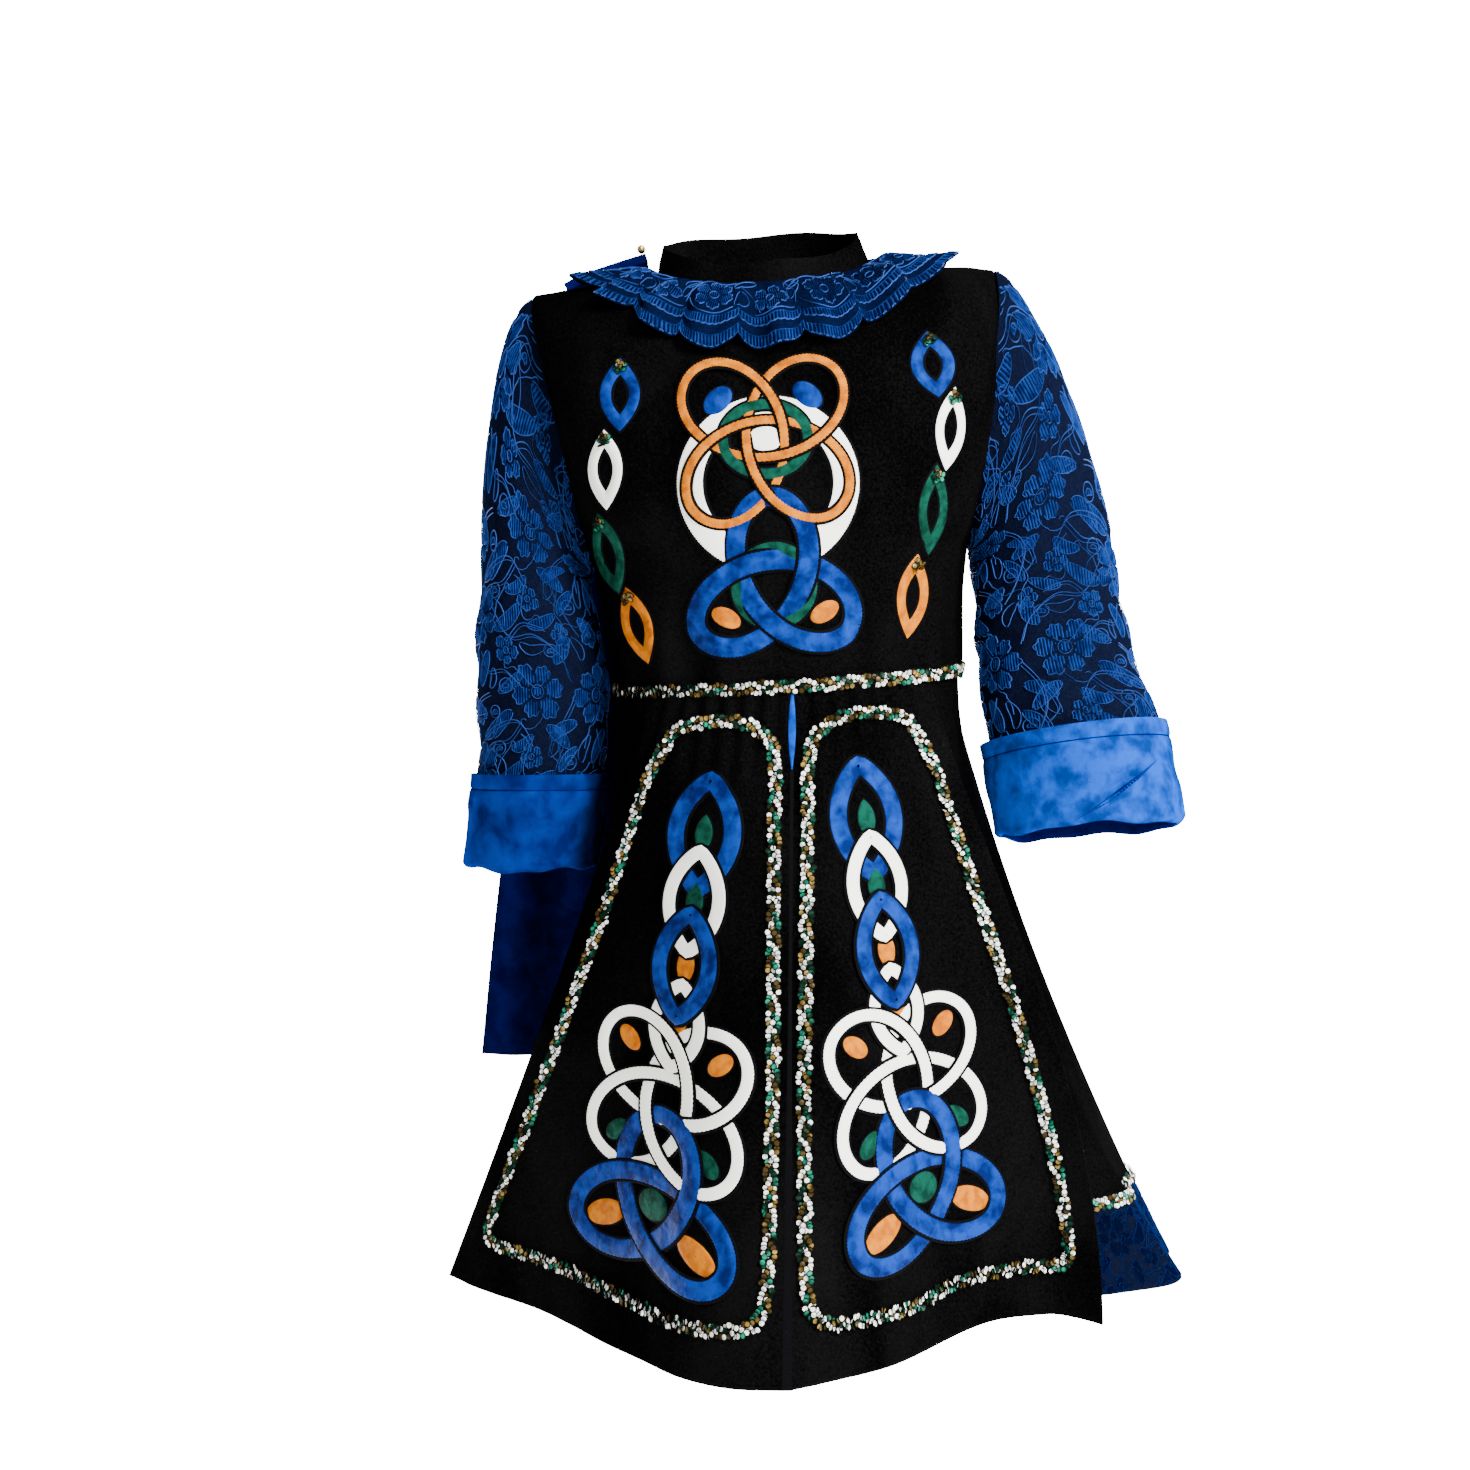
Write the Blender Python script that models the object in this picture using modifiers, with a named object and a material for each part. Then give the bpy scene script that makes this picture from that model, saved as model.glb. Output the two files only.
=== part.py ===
"""Irish step dance dress, standing in its worn, hollow form.

Metres, +Z up. The front looks along -Y, and +X is the wearer's left. The origin is the middle of the base of the neck.
The upper body is drawn upright in its own frame, `up` metres above the waist, and then leans a little to one side.
Every cloth wall is a loft: its outer skin is a function of two numbers that run from 0 to 1, and its inner skin
lies one cloth thickness behind it. Appliques and braids are flat strips that are laid on the wall behind them.
"""

import bpy
import bmesh
from collections import namedtuple
from math import asin, atan2, cos, pi, radians, sin, sqrt, tau
from mathutils import Vector
from mathutils.bvhtree import BVHTree
from mathutils.geometry import delaunay_2d_cdt

SEAM = 0.0003                      # gap between two sewn pieces
WOOL = 0.0018                      # dress cloth with its interlining
SATIN = 0.0012
LACE = 0.0010
APPLIQUE = 0.0010
BRAID_WIDTH = 0.013
BRAID_THICK = 0.0022

# The upper body leans towards the wearer's right, about the middle of the waist.
LEAN = radians(3.5)
WAIST = Vector((0.0194, 0.0, -0.370))
WAIST_HALF = 0.156
WAIST_FRONT = 0.115
WAIST_BACK = 0.100
FRONT_DIP = 0.010                  # the waist seam dips at the front

UNDERARM_UP = 0.112
SHOULDER_UP = 0.362
SHOULDER_HALF = 0.2115
ARMHOLE_HALF_DEPTH = 0.055
NECK_HALF = 0.098
NECK_FRONT = 0.075
NECK_BACK = 0.070
NECK_UP = 0.376
COLLAR_LIFT = 0.0015
SHOULDER_ROUND = 0.085             # height over which the front and back turn over to the shoulder

BodyRow = namedtuple("BodyRow", "up half front back flat")
BODY = [                           # half width, depth to the front and the back, flatness of the front
    BodyRow(0.000, 0.1560, 0.115, 0.100, 1.00),
    BodyRow(0.050, 0.1615, 0.124, 0.106, 0.94),
    BodyRow(0.112, 0.1720, 0.143, 0.114, 0.86),
    BodyRow(0.165, 0.1815, 0.150, 0.121, 0.80),
    BodyRow(0.220, 0.1905, 0.143, 0.125, 0.78),
    BodyRow(0.270, 0.1995, 0.133, 0.124, 0.76),
    BodyRow(0.320, 0.2080, 0.122, 0.118, 0.76),
    BodyRow(0.362, SHOULDER_HALF, 0.112, 0.110, 0.76),
]

ArmRow = namedtuple("ArmRow", "down x y z half deep tilt nod")
ARM_LEFT = [                       # rings of the wearer's left sleeve: middle, half width and depth, slant in degrees
    ArmRow(0.30, 0.2510, -0.006, -0.262, 0.0635, 0.062, 9, 4),
    ArmRow(0.45, 0.2560, -0.014, -0.310, 0.0660, 0.064, 9, 6),
    ArmRow(0.65, 0.2620, -0.026, -0.360, 0.0700, 0.066, 8, 8),
    ArmRow(0.82, 0.2745, -0.040, -0.421, 0.0755, 0.069, 7, 8),
    ArmRow(1.00, 0.2870, -0.054, -0.504, 0.0790, 0.072, 4, 8),
]
ARM_RIGHT = [
    ArmRow(0.30, -0.2135, 0.006, -0.280, 0.0500, 0.076, 2, 0),
    ArmRow(0.45, -0.2095, 0.014, -0.335, 0.0575, 0.075, 1, 0),
    ArmRow(0.65, -0.2075, 0.028, -0.400, 0.0590, 0.076, 0, 0),
    ArmRow(0.82, -0.2125, 0.040, -0.458, 0.0560, 0.078, 0, 0),
    ArmRow(1.00, -0.2230, 0.050, -0.542, 0.0575, 0.080, 0, 0),
]
CUFF_TOP = 0.82                    # the turned-back cuff covers the sleeve from here to its end
CUFF_TOP_OUT = 0.0085              # how far the turned-back cuff stands off the sleeve
CUFF_FOLD_OUT = 0.0055
CUFF_IN = -0.0035
CUFF_FOLD_DROP = 0.0036
CUFF_INSIDE = 0.045                # how far the cuff's facing goes up inside, as a share of the sleeve

PANEL_HALF_ANGLE = radians(52)     # each front skirt panel reaches this far round the waist
HemRow = namedtuple("HemRow", "across x y z")
HEM_RIGHT = [                      # hem of the wearer's right panel, from the centre front outwards
    HemRow(0.00, 0.0105, -0.262, -0.9380),
    HemRow(0.14, -0.0326, -0.250, -0.9400),
    HemRow(0.27, -0.0721, -0.225, -0.9396),
    HemRow(0.38, -0.1044, -0.188, -0.9390),
    HemRow(0.52, -0.1468, -0.135, -0.9390),
    HemRow(0.61, -0.1747, -0.098, -0.9361),
    HemRow(0.71, -0.2053, -0.062, -0.9319),
    HemRow(0.84, -0.2459, -0.028, -0.9274),
    HemRow(1.00, -0.2934, 0.000, -0.9188),
]
HEM_LEFT = [
    HemRow(0.00, 0.0125, -0.262, -0.9380),
    HemRow(0.09, 0.0363, -0.252, -0.9360),
    HemRow(0.33, 0.1051, -0.205, -0.9350),
    HemRow(0.62, 0.1865, -0.116, -0.9285),
    HemRow(0.81, 0.2369, -0.078, -0.9310),
    HemRow(0.90, 0.2600, -0.076, -0.9320),
    HemRow(1.00, 0.2903, -0.102, -0.9345),
]
BackRow = namedtuple("BackRow", "turn x y z late")
HEM_BACK = [                       # side and back skirt, by the angle round the waist; `late` flares only lower down
    BackRow(52, 0.2420, -0.052, -0.925, 1.30),
    BackRow(66, 0.3150, -0.022, -0.931, 1.75),
    BackRow(80, 0.3700, 0.020, -0.932, 1.85),
    BackRow(95, 0.3960, 0.075, -0.930, 1.55),
    BackRow(112, 0.3720, 0.160, -0.930, 1.20),
    BackRow(135, 0.2900, 0.245, -0.932, 1.05),
    BackRow(160, 0.1500, 0.300, -0.934, 1.05),
    BackRow(182, 0.0100, 0.314, -0.935, 1.05),
    BackRow(206, -0.1250, 0.285, -0.935, 1.05),
    BackRow(230, -0.2150, 0.215, -0.935, 1.20),
    BackRow(255, -0.2620, 0.130, -0.932, 1.80),
    BackRow(278, -0.2720, 0.060, -0.928, 2.30),
    BackRow(296, -0.2620, 0.016, -0.924, 2.00),
    BackRow(308, -0.2430, -0.004, -0.920, 1.30),
]
BACK_FLUTES = 9
BACK_FLUTE_DEEP = 0.011
LACE_BAND_FROM = 0.865             # the lace band starts this far down the side and back skirt

CapeRow = namedtuple("CapeRow", "down z x_out x_in y_out y_in fold")
CAPE = [                           # rows of the shawl, from the shoulder to its hem
    CapeRow(0.00, 0.0020, -0.182, -0.108, 0.0070, 0.0070, 0.0000),
    CapeRow(0.06, -0.0060, -0.190, -0.104, 0.064, 0.068, 0.0010),
    CapeRow(0.16, -0.0780, -0.200, -0.085, 0.130, 0.138, 0.0030),
    CapeRow(0.34, -0.2300, -0.220, -0.050, 0.152, 0.160, 0.0050),
    CapeRow(0.52, -0.3800, -0.243, -0.018, 0.163, 0.176, 0.0065),
    CapeRow(0.75, -0.5600, -0.267, 0.018, 0.172, 0.222, 0.0080),
    CapeRow(1.00, -0.7460, -0.287, 0.050, 0.182, 0.292, 0.0090),
]
CAPE_HEM_DROP = 0.055              # the hem falls lower towards the middle of the back
CAPE_FOLDS = 4.5
CAPE_CLEAR = 0.0150                # the shawl passes over the collar ruffle
ROLL_RADIUS = 0.005                # rolled satin edge of the shawl on the shoulder
ROLL_SIDES = (-0.182, -0.106)
ROLL_Y = 0.0015
ROLL_LIFTS = (0.0055, 0.0190)       # its outer end lies on the shoulder, the other on the ruffle

BorderRow = namedtuple("BorderRow", "across down")
BORDER = [                         # braid border of a front skirt panel, round its edge
    BorderRow(0.540, 0.050), BorderRow(0.760, 0.066), BorderRow(0.850, 0.130), BorderRow(0.870, 0.210),
    BorderRow(0.880, 0.355), BorderRow(0.900, 0.530), BorderRow(0.915, 0.715), BorderRow(0.925, 0.870),
    BorderRow(0.905, 0.918), BorderRow(0.760, 0.922), BorderRow(0.535, 0.924), BorderRow(0.370, 0.930),
    BorderRow(0.200, 0.926), BorderRow(0.095, 0.915), BorderRow(0.058, 0.870), BorderRow(0.056, 0.730),
    BorderRow(0.060, 0.560), BorderRow(0.076, 0.380), BorderRow(0.090, 0.210), BorderRow(0.095, 0.130),
    BorderRow(0.150, 0.080), BorderRow(0.320, 0.054),
]

LinkRow = namedtuple("LinkRow", "colour top_side top_up low_side low_up half")
LINKS_RIGHT = [                    # chain of pointed ovals down each side of the bodice front
    LinkRow("blue", -0.1306, 0.2819, -0.1346, 0.2159, 0.0180),
    LinkRow("ivory", -0.1481, 0.2211, -0.1506, 0.1515, 0.0160),
    LinkRow("green", -0.1600, 0.1530, -0.1455, 0.0807, 0.0140),
    LinkRow("orange", -0.1399, 0.0881, -0.1235, 0.0174, 0.0140),
]
LINKS_LEFT = [
    LinkRow("blue", 0.1340, 0.2890, 0.1406, 0.2292, 0.0200),
    LinkRow("ivory", 0.1559, 0.2403, 0.1428, 0.1663, 0.0140),
    LinkRow("green", 0.1355, 0.1736, 0.1247, 0.0960, 0.0135),
    LinkRow("orange", 0.1155, 0.0991, 0.1032, 0.0250, 0.0150),
]
RuffleRow = namedtuple("RuffleRow", "turn side y up")
RUFFLE_EDGE = [                    # the ruffle's lower edge, by degrees from the middle of the front
    RuffleRow(0, 0.000, -0.126, 0.277), RuffleRow(25, 0.064, -0.120, 0.287), RuffleRow(45, 0.098, -0.092, 0.308),
    RuffleRow(65, 0.132, -0.056, 0.334), RuffleRow(85, 0.156, -0.012, 0.358), RuffleRow(100, 0.156, 0.030, 0.362),
    RuffleRow(125, 0.128, 0.084, 0.350), RuffleRow(150, 0.072, 0.116, 0.338), RuffleRow(180, 0.000, 0.125, 0.334),
]
RUFFLE_WAVES = 18
RUFFLE_CLEAR = 0.0078              # between the bodice and the ruffle
RUFFLE_FLUTE = 0.0018
RUFFLE_START = 0.0050              # its upper edge lies this far over the neck seam
RUFFLE_NECK_GROW = 0.0030
RUFFLE_HEART_UP = 0.235            # it is laid on the bodice by rays towards this height
RUFFLE_COLUMNS = 72
RUFFLE_ROWS = [0.0, 0.12, 0.50, 1.0]
OFF_SEAM = 0.0008                  # the rays miss the gaps between the bodice's pieces by this much

LINK_HOLE = 0.40                   # the hole's size as a share of the link
EMBLEM_SIDE = -0.011
EMBLEM_UP = 0.150
MOTIF_TOP = {"right": (-0.0490, -0.457), "left": (0.0755, -0.4435)}
MOTIF_LOW = {"right": (-0.1040, -0.864), "left": (0.1382, -0.866)}
MotifLoop = namedtuple("MotifLoop", "colour start stop half width fill")
MOTIF_LOOPS = [                    # interlinked pointed loops down a panel, by their distance from its top point
    MotifLoop("blue", 0.004, 0.098, 0.0245, 0.0165, "green"),
    MotifLoop("ivory", 0.066, 0.152, 0.0215, 0.0125, "green"),
    MotifLoop("blue", 0.120, 0.208, 0.0215, 0.0145, "orange"),
    MotifLoop("ivory", 0.180, 0.250, 0.0195, 0.0115, "orange"),
]
KnotRow = namedtuple("KnotRow", "colour loops up reach inner turn width")
MOTIF_KNOTS = [                    # knots under the loops; up is counted downwards from the top point
    KnotRow("ivory", 4, -0.276, 0.078, -0.018, 45, 0.0110),
    KnotRow("blue", 3, -0.364, 0.073, -0.022, 0, 0.0160),
]
EMBLEM_KNOTS = [                   # by their height over the emblem's middle
    KnotRow("orange", 4, 0.056, 0.092, -0.016, 45, 0.0085),
    KnotRow("blue", 3, -0.074, 0.074, -0.022, 0, 0.0180),
]
RingRow = namedtuple("RingRow", "colour up wide tall width")
EMBLEM_RING = RingRow("ivory", 0.012, 0.066, 0.064, 0.0240)

KNOT_STEP = 0.026                  # length of a straight piece of a knot
RING_STEP = 0.034
BRAID_STEP = 0.022
LOOP_SIDE = 4                      # straight pieces down each side of a pointed loop
LOOP_FULL = 0.85                   # how full its sides are: less is fuller
LINK_GAP = 0.0011                  # between the cloth and what is sewn on its curved faces
EMBLEM_GAP = 0.0018
MOTIF_GAP = 0.0016
TRIM_GAP = 0.0015
BACK_CENTRE_GAP = 0.0011           # half turn between the two back pieces, in radians
SIDE_SEAM_TURN = 0.055             # the walls end this many degrees short of the side seam

NECK_COLUMNS = 12                  # half way round the neck
SHOULDER_COLUMNS = 6
BODICE_ROWS = 10
WAIST_COLUMNS = 40
SLEEVE_COLUMNS = 20
SKIRT_COLUMNS = [0.006, 0.05, 0.10, 0.15, 0.21, 0.28, 0.37, 0.48, 0.60, 0.73, 0.86, 0.93, 0.997]
SKIRT_ROWS = 9
PLEAT_DEEP = 0.0038                # the pleat's inset lies this far behind the panels' skin
PLEAT_DEEPER = 0.0040              # and this much deeper at the hem
BACK_COLUMNS = 36
BACK_ROWS = [0.0006, 0.12, 0.26, 0.42, 0.58, 0.73, LACE_BAND_FROM, 1.0]


def mix(a, b, t):
    return a + (b - a) * t


def ease(t):
    t = min(1.0, max(0.0, t))
    return t * t * (3 - 2 * t)


def along(rows, column, at):
    """One column of a table, read smoothly; the table's first column says where each row lies."""
    marks = [row[0] for row in rows]
    values = [getattr(row, column) for row in rows]
    at = min(marks[-1], max(marks[0], at))
    k = max(0, sum(mark <= at for mark in marks[:-1]) - 1)

    def slope(i):
        lo, hi = max(0, i - 1), min(len(marks) - 1, i + 1)
        return (values[hi] - values[lo]) / (marks[hi] - marks[lo])

    span = marks[k + 1] - marks[k]
    t = (at - marks[k]) / span
    start = (1 + 2 * t) * (1 - t) ** 2 * values[k] + t * (1 - t) ** 2 * span * slope(k)
    end = t * t * (3 - 2 * t) * values[k + 1] + t * t * (t - 1) * span * slope(k + 1)
    return start + end


def leaned(side, y, up):
    """A point of the upright body, leaned to where it stands."""
    x = WAIST.x + cos(LEAN) * side - sin(LEAN) * up
    z = WAIST.z + sin(LEAN) * side + cos(LEAN) * up
    return Vector((x, y, z))


def neck_ring(turn, grow=0.0, lift=0.0):
    """Base of the neck, by the angle from the centre front."""
    forward = cos(turn)
    side = (NECK_HALF + grow) * sin(turn)
    if forward > 0:
        y = -(NECK_FRONT + grow) * forward
        up = NECK_UP - 0.033 * forward
    else:
        y = -(NECK_BACK + grow) * forward
        up = NECK_UP - 0.014 * forward
    return side, y, up + lift


def top_edge(side, front):
    """Upper edge of the bodice at a distance from the middle: neckline, then shoulder seam."""
    reach = abs(side)
    if reach < NECK_HALF:
        forward = sqrt(1 - (reach / NECK_HALF) ** 2)
        if front:
            return -NECK_FRONT * forward, NECK_UP - 0.033 * forward
        return NECK_BACK * forward, NECK_UP + 0.014 * forward
    t = (reach - NECK_HALF) / (SHOULDER_HALF - NECK_HALF)
    return 0.0, mix(NECK_UP, SHOULDER_UP, t)


def armhole_depth(up):
    middle = (SHOULDER_UP + UNDERARM_UP) / 2
    half = (SHOULDER_UP - UNDERARM_UP) / 2
    return ARMHOLE_HALF_DEPTH * sqrt(max(0.0, 1 - ((up - middle) / half) ** 2))


def waist_dip(turn):
    return -FRONT_DIP * max(0.0, cos(turn))


def body_folds(across, up):
    """Soft gathers that rise from the waist seam of the bodice front."""
    rise = 0.0035 * (1 - ease(up / 0.12)) * ease((up - 0.008) / 0.03)
    return rise * sin(across * 4.3 * pi) * ease(abs(across) / 0.35)


def body_point(turn, t, front=True):
    """Bodice skin: `turn` from the side seam on the wearer's right to the other, t from the waist to the top."""
    across = sin(turn)
    side_guess = across * SHOULDER_HALF
    for _ in range(4):
        y_top, up_top = top_edge(side_guess, front)
        side_guess = across * along(BODY, "half", up_top)
    up_low = waist_dip(turn) if front else 0.0
    up = mix(up_low, up_top, t)
    side = across * along(BODY, "half", up)
    y_top, up_top = top_edge(side, front)
    depth = along(BODY, "front" if front else "back", up)
    edge = armhole_depth(up)
    flat = along(BODY, "flat", up)
    if front:
        depth += body_folds(across, up)
    y = edge + (depth - edge) * max(0.0, cos(turn)) ** flat
    over = min(1.0, max(0.0, (up_top - up) / SHOULDER_ROUND))
    round_off = sqrt(max(0.0, 1 - (1 - over) ** 2))
    y = mix(abs(y_top), y, round_off)
    return leaned(side, -y if front else y, up)


def waist_point(turn, below=0.0):
    depth = WAIST_FRONT if cos(turn) > 0 else WAIST_BACK
    return leaned(WAIST_HALF * sin(turn), -depth * cos(turn), waist_dip(turn) - below)


def panel_point(across, down, left):
    """Front skirt panel: `across` from the centre front outwards, `down` from the waist to the hem."""
    hand = 1 if left else -1
    table = HEM_LEFT if left else HEM_RIGHT
    reach = across * sin(PANEL_HALF_ANGLE)
    turn = hand * (pi / 2 if reach >= 1 else Vector((sqrt(1 - reach * reach), reach)).angle_signed(Vector((1, 0))))
    top = waist_point(turn)
    hem = Vector([along(table, axis, across) for axis in "xyz"])
    middle = down ** 1.12
    outer = sin(down * pi / 2) ** 1.2 if left else down ** 1.08
    spread = mix(middle, outer, across)
    return Vector((mix(top.x, hem.x, spread), mix(top.y, hem.y, mix(middle, down, across)), mix(top.z, hem.z, down)))


def back_point(t, down):
    """Side and back skirt: t from the wearer's left edge round the back to the right edge."""
    turn_deg = mix(51.4, 308.6, t)
    turn = radians(turn_deg)
    top = waist_point(turn)
    hem = Vector([along(HEM_BACK, axis, turn_deg) for axis in "xyz"])
    inward = mix(0.0032, 0.010, ease(down / 0.25)) * (1 - ease(min(t, 1 - t) / 0.06))
    flute = BACK_FLUTE_DEEP * down ** 1.3 * ease(min(t, 1 - t) / 0.16) * cos(BACK_FLUTES * tau * t)
    out = Vector((sin(turn), -cos(turn), 0))
    spread = down ** along(HEM_BACK, "late", turn_deg)
    place = Vector((mix(top.x, hem.x, spread), mix(top.y, hem.y, spread), mix(top.z, hem.z, down)))
    return place + out * (flute - inward)


def armhole_point(turn, hand):
    """Ring of the armhole: 0 at the shoulder tip, a quarter turn at the front, half a turn under the arm."""
    middle = (SHOULDER_UP + UNDERARM_UP) / 2
    half = (SHOULDER_UP - UNDERARM_UP) / 2
    up = middle + half * cos(turn)
    side = along(BODY, "half", up)
    return leaned(hand * (side + SEAM + 0.0002), -ARMHOLE_HALF_DEPTH * sin(turn), up)


def arm_ring(turn, down, hand, grow=0.0, drop=0.0):
    """Ring of the sleeve below the armhole; the turn matches the armhole's, and `drop` moves it down the arm."""
    table = ARM_LEFT if hand > 0 else ARM_RIGHT
    middle = Vector([along(table, axis, down) for axis in "xyz"])
    tilt, nod = radians(along(table, "tilt", down)), radians(along(table, "nod", down))
    across = Vector((hand * cos(tilt), 0, sin(tilt)))
    deep = Vector((0, -cos(nod), sin(nod)))
    half = along(table, "half", down) + grow
    thick = along(table, "deep", down) + grow
    down_arm = across.cross(deep).normalized() * hand
    return middle + across * half * cos(turn) + deep * thick * sin(turn) + down_arm * drop


def sleeve_point(turn, down, hand):
    """Sleeve skin: from the armhole over the cap to the ring at 0.3, then down the arm."""
    cap_end = 0.30
    if down >= cap_end:
        return arm_ring(turn, down, hand)
    t = down / cap_end
    start = armhole_point(turn, hand)
    end = arm_ring(turn, cap_end, hand)
    top = (1 + cos(turn)) / 2
    leave = Vector((hand * mix(0.012, 0.110, top), -0.012 * sin(turn), mix(-0.04, -0.025, top)))
    arrive = Vector((0.02 * hand, 0, -1)) * mix(0.04, 0.22, top)
    a = (1 + 2 * t) * (1 - t) ** 2
    b = t * (1 - t) ** 2
    c = t * t * (3 - 2 * t)
    d = t * t * (t - 1)
    return start * a + leave * b + end * c + arrive * d


def cuff_point(turn, along_profile, hand):
    """Turned-back cuff: down the outside, round the fold, and a little way up inside the sleeve."""
    outside, folded = 0.78, 0.90
    if along_profile < outside:
        t = along_profile / outside
        return arm_ring(turn, mix(CUFF_TOP, 1.0, t), hand, mix(CUFF_TOP_OUT, CUFF_FOLD_OUT, t))
    if along_profile < folded:
        t = (along_profile - outside) / (folded - outside)
        return arm_ring(turn, 1.0, hand, mix(CUFF_FOLD_OUT, CUFF_IN, t), drop=CUFF_FOLD_DROP * sin(pi * t) ** 0.6)
    t = (along_profile - folded) / (1 - folded)
    return arm_ring(turn, 1.0 - CUFF_INSIDE * t, hand, CUFF_IN)


def collar_point(turn, t):
    """Standing collar band: from the neckline up, leaning in, with a slightly wavy top."""
    wave = 0.0012 * sin(5 * turn + 0.6) * t
    tall = mix(0.023, 0.032, (1 - cos(turn)) / 2)
    side, y, up = neck_ring(turn, grow=-0.0085 * t, lift=COLLAR_LIFT + (tall + wave) * t)
    return leaned(side, y, up)


def roll_point(t):
    """Middle of the rolled satin edge, from the shoulder tip to the neck."""
    side = mix(*ROLL_SIDES, t)
    return leaned(side, ROLL_Y, top_edge(side, False)[1] + mix(*ROLL_LIFTS, t ** 0.65))


def cape_point(t, down):
    """Shawl: t from the outer edge to the edge near the spine, down from the shoulder to the hem."""
    drop = CAPE_HEM_DROP * down * ease(t)
    fold = along(CAPE, "fold", down) * cos(CAPE_FOLDS * tau * t + 0.4)
    x = mix(along(CAPE, "x_out", down), along(CAPE, "x_in", down), t)
    bow = 0.012 * sin(pi * t) * ease(down / 0.5)
    y = mix(along(CAPE, "y_out", down), along(CAPE, "y_in", down), t) + bow + fold
    start = roll_point(t)
    low = Vector((x, y, along(CAPE, "z", down) - drop))
    return Vector((mix(start.x, x, ease(down / 0.12)), y, mix(start.z, low.z, ease(down / 0.12))))


def cleared(place, trees, clear):
    """Push a point out behind and above the bodice's back, where it would come too near."""
    place = place.copy()
    for tree in trees:
        above = tree.ray_cast(place + Vector((0, 0, 0.2)), Vector((0, 0, -1)))[0]
        if above is not None and place.z < above.z + clear and above.y < 0.075:
            place.z = above.z + clear
        behind = tree.ray_cast(place + Vector((0, 0.3, 0)), Vector((0, -1, 0)))[0]
        if behind is not None and place.y < behind.y + clear:
            place.y = behind.y + clear
    return place


def finish(name, bm, material):
    """Turn a bmesh into a named object with its own material."""
    bmesh.ops.recalc_face_normals(bm, faces=bm.faces)
    if bm.calc_volume(signed=True) < 0:
        bmesh.ops.reverse_faces(bm, faces=bm.faces)
    mesh = bpy.data.meshes.new(name)
    bm.to_mesh(mesh)
    bm.free()
    mesh.shade_smooth()
    mesh.set_sharp_from_angle(angle=radians(40))
    thing = bpy.data.objects.new(name, mesh)
    thing.data.materials.append(material)
    PARTS.objects.link(thing)
    return thing


def steps(count, start=0.0, stop=1.0):
    return [mix(start, stop, k / count) for k in range(count + 1)]


def cloth_wall(name, skin, us, vs, thick, material, inward, closed=False, lift=0.0, keep=Vector):
    """A wall of cloth: outer skin `skin(u, v)` and an inner skin `thick` behind it, towards `inward(u, v)`.

    `keep` holds the inner skin on its own side of a seam."""
    bm = bmesh.new()
    e = 1e-4
    outer, inner = [], []
    for v in vs:
        outer.append([])
        inner.append([])
        for u in us:
            u_lo, u_hi = (u - e, u + e) if closed else (max(us[0], u - e), min(us[-1], u + e))
            du = skin(u_hi, v) - skin(u_lo, v)
            dv = skin(u, min(vs[-1], v + e)) - skin(u, max(vs[0], v - e))
            normal = du.cross(dv).normalized()
            place = skin(u, v)
            if normal.dot(inward(u, v) - place) > 0:
                normal = -normal
            outer[-1].append(bm.verts.new(place + normal * lift))
            inner[-1].append(bm.verts.new(keep(place + normal * (lift - thick))))
    count = len(us)
    spans = range(count) if closed else range(count - 1)

    def quad(a, b, c, d):
        bm.faces.new((a, b, c))
        bm.faces.new((a, c, d))

    for skin_rows in (outer, inner):
        for low, high in zip(skin_rows, skin_rows[1:]):
            for i in spans:
                j = (i + 1) % count
                quad(low[i], low[j], high[j], high[i])
    for k in (0, -1):
        for i in spans:
            j = (i + 1) % count
            quad(outer[k][i], outer[k][j], inner[k][j], inner[k][i])
    if not closed:
        for i in (0, -1):
            for k in range(len(vs) - 1):
                quad(outer[k][i], outer[k + 1][i], inner[k + 1][i], inner[k][i])
    return finish(name, bm, material)


def surface_of(thing):
    bm = bmesh.new()
    bm.from_mesh(thing.data)
    tree = BVHTree.FromBMesh(bm)
    bm.free()
    return tree


def laid(tree, x, z, lift):
    """The point that lies `lift` in front of a surface, and a little more where it is steep, seen from the front."""
    hit, normal, _, _ = tree.ray_cast(Vector((x, -1, z)), Vector((0, 1, 0)))
    steep = 1 - abs(normal.y)
    return Vector((x, hit.y - lift * (1 + 1.2 * steep) / max(0.35, abs(normal.y)), z))


Strand = namedtuple("Strand", "path width closed")


def edges_of(strand):
    """The two edge lines of a strand."""
    points, count = strand.path, len(strand.path)
    left, right = [], []
    for k, here in enumerate(points):
        if strand.closed:
            before, after = points[k - 1], points[(k + 1) % count]
        else:
            before, after = points[max(0, k - 1)], points[min(count - 1, k + 1)]
        run = (after - before).normalized()
        half = Vector((-run.y, run.x)) * strand.width / 2
        left.append(here + half)
        right.append(here - half)
    return left, right


def strand_quads(strands):
    return [quad for strand in strands for quad in quads_between(*edges_of(strand), strand.closed)]


def quads_between(left, right, closed):
    """The flat pieces between two edge lines, each as four corners that run counter-clockwise."""
    count = len(left)
    quads = []
    for k in range(count if closed else count - 1):
        following = (k + 1) % count
        corners = [left[k], right[k], right[following], left[following]]
        area = sum(a.cross(b) for a, b in zip(corners, corners[1:] + corners[:1]))
        quads.append(corners if area > 0 else corners[::-1])
    return quads


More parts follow.
